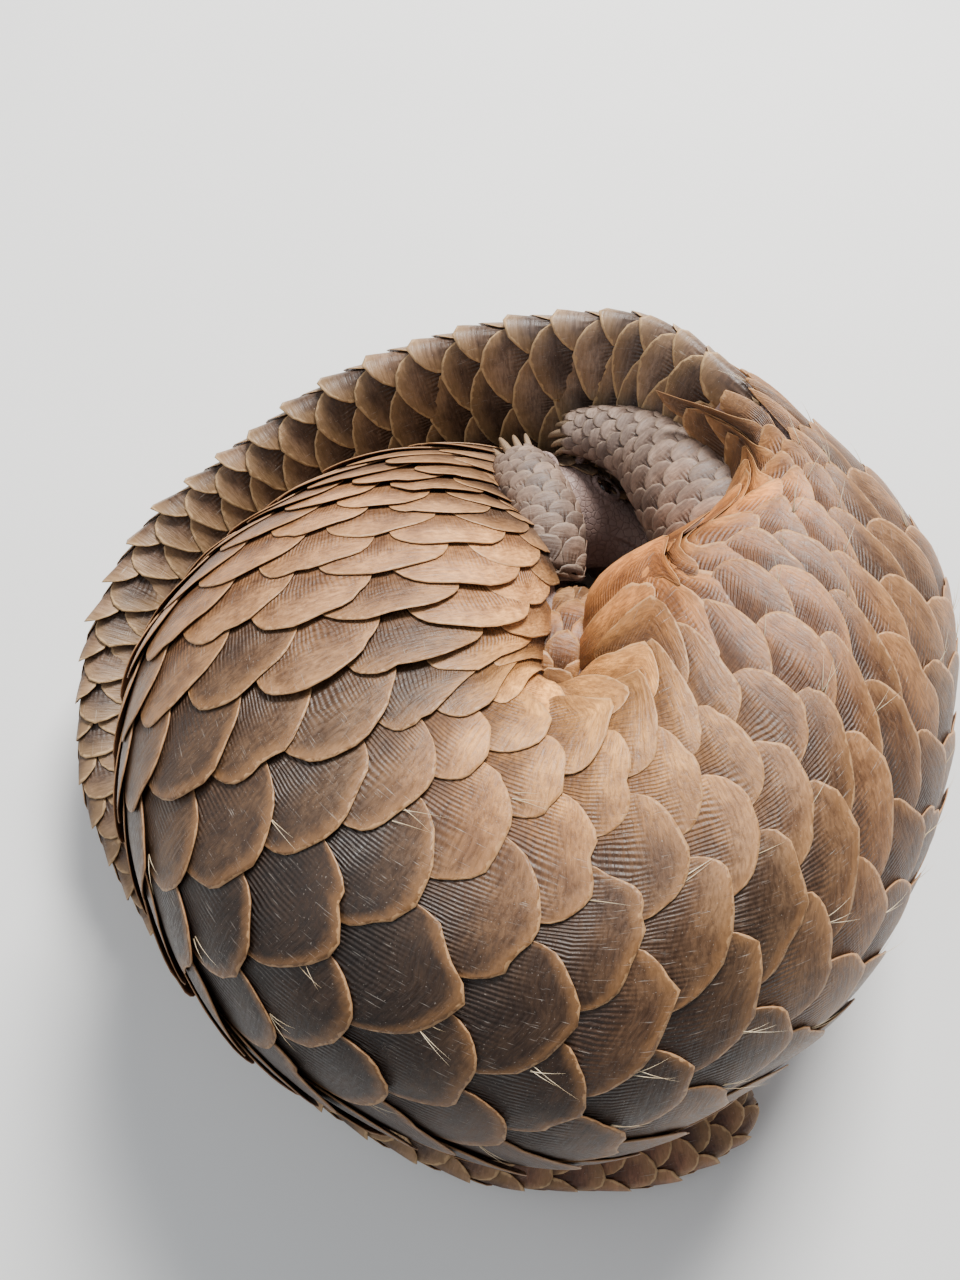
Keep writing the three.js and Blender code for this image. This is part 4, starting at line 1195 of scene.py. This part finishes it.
wet_eye = two_toned("wet eye", 900.0, 0.4, 0.6, colour(0.010, 0.007, 0.006), colour(0.035, 0.020, 0.014),
                    **{"Roughness": 0.06, "IOR": 1.4, "Coat Weight": 0.6})
for side, sign in (("right", 1), ("left", -1)):
    name = "eyeball_" + side
    spot, *axes = on_head(EYE_PLACE, sign * EYE_ANGLE, EYE_DEPTH)
    finished(name, shaped_ball(name, (EYE_RADIUS,) * 3, spot, axes), wet_eye, ["eye_" + side])
    name = "ear_fold_" + side
    spot, *axes = on_head(EAR_PLACE, sign * EAR_ANGLE, EAR_LIFT)
    ear = shaped_ball(name, EAR_SIZE, spot, axes, EAR_HOLLOW)
    finished(name, ear, bare_skin, ["ear_" + side])


def claw_stations(root, along, bend, length, radius):
    """Stations of a claw that curves from its root and tapers to a point."""
    sections = []
    for t in np.arange(5) / 4:
        centre = root + along * length * math.sin(1.25 * t) / 0.95
        centre = centre + bend * length * (1 - math.cos(1.25 * t)) * 0.7
        size = radius * (1 - 0.9 * t * t)
        sections.append((centre, (size, size * 0.75)))
    return even_stations(sections, tuple(bend))


def foot_claws(name):
    """Five curved claws on a foot, joined, the outer ones shorter and thinner."""
    length, bend = CLAWS[name]
    bend = np.array(bend, float)
    last = len(LEGS[name]) - 1
    ring = np.arange(8) * 45.0
    root, behind = (leg_base(name)(np.full(8, last - back), ring).mean(0) for back in (0.15, 1.0))
    along = unit(root - behind)
    spread = unit(np.cross(bend, along))
    parts = []
    for n in (-2, -1, 0, 1, 2):
        way = unit(along + spread * 0.12 * n)
        start = root + spread * n * CLAW_SPACING - way * 2
        size = length * (1 - 0.17 * abs(n))
        stations = claw_stations(start, way, bend, size, CLAW_RADIUS * (1 - 0.12 * abs(n)))
        claw = lambda place, angle: path_base(stations, place, angle)
        parts.append(tube_mesh(claw, 0, 4, 14, 14, 0.0, 0.1))
    mesh = joined(name + "_claws", parts)
    local = read_points(mesh) / MM - root - ORIGIN_SHIFT
    write_map(mesh, "Plate", np.stack([local @ spread, local @ along], -1)[corner_verts(mesh)])
    return mesh


claw_horn = claw_material()
for name in LEGS:
    finished(name + "_claws", foot_claws(name), claw_horn)


# Stage, light and camera
LIGHT_AIM = (0, 0, 0.08)
# Lights: name, place and size in metres, power in watts, tint
LIGHTS = [("key_light", (0.35, 0.95, 1.25), 0.55, 62, (1.0, 0.98, 0.95)),
          ("fill_light", (-1.0, -0.1, 1.2), 1.4, 9, (0.92, 0.96, 1.0))]
SENSOR_WIDTH = 36.0
WORLD_STRENGTH = 0.42


def studio_floor():
    bm = bmesh.new()
    bmesh.ops.create_grid(bm, x_segments=8, y_segments=8, size=4.0)
    piece = placed_object("studio_floor", made_mesh("studio floor", bm))
    pale = two_toned("pale floor", 3.0, 0.3, 0.7, colour(0.76, 0.76, 0.75), colour(0.80, 0.80, 0.79),
                     Roughness=0.7)
    piece.data.materials.append(pale)
    piece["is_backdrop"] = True


def soft_light(name, place, size, power, tint):
    """A square light that looks at the animal's middle."""
    lamp = bpy.data.lights.new(name, "AREA")
    lamp.shape = "SQUARE"
    lamp.size = size
    lamp.energy = power
    lamp.color = tint
    piece = placed_object(name, lamp)
    piece.location = place
    aim = Vector(LIGHT_AIM) - Vector(place)
    piece.rotation_euler = aim.to_track_quat("-Z", "Y").to_euler()


def photo_camera():
    data = bpy.data.cameras.new("photo camera")
    data.sensor_width = SENSOR_WIDTH
    data.lens = FOCAL_PIXELS / PHOTO_SIZE[1] * SENSOR_WIDTH
    data.clip_start = 0.01
    camera = placed_object("photo_camera", data)
    camera.location = tuple((np.array(CAMERA_PLACE) + ORIGIN_SHIFT) * MM)
    camera.rotation_euler = (math.radians(CAMERA_TILT), 0, 0)
    bpy.context.scene.camera = camera


def pale_world():
    world = bpy.data.worlds.new("studio")
    world.use_nodes = True
    background = world.node_tree.nodes["Background"]
    background.inputs["Color"].default_value = colour(0.92, 0.95, 1.0)
    background.inputs["Strength"].default_value = WORLD_STRENGTH
    bpy.context.scene.world = world


studio_floor()
for light in LIGHTS:
    soft_light(*light)
pale_world()
photo_camera()

low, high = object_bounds()
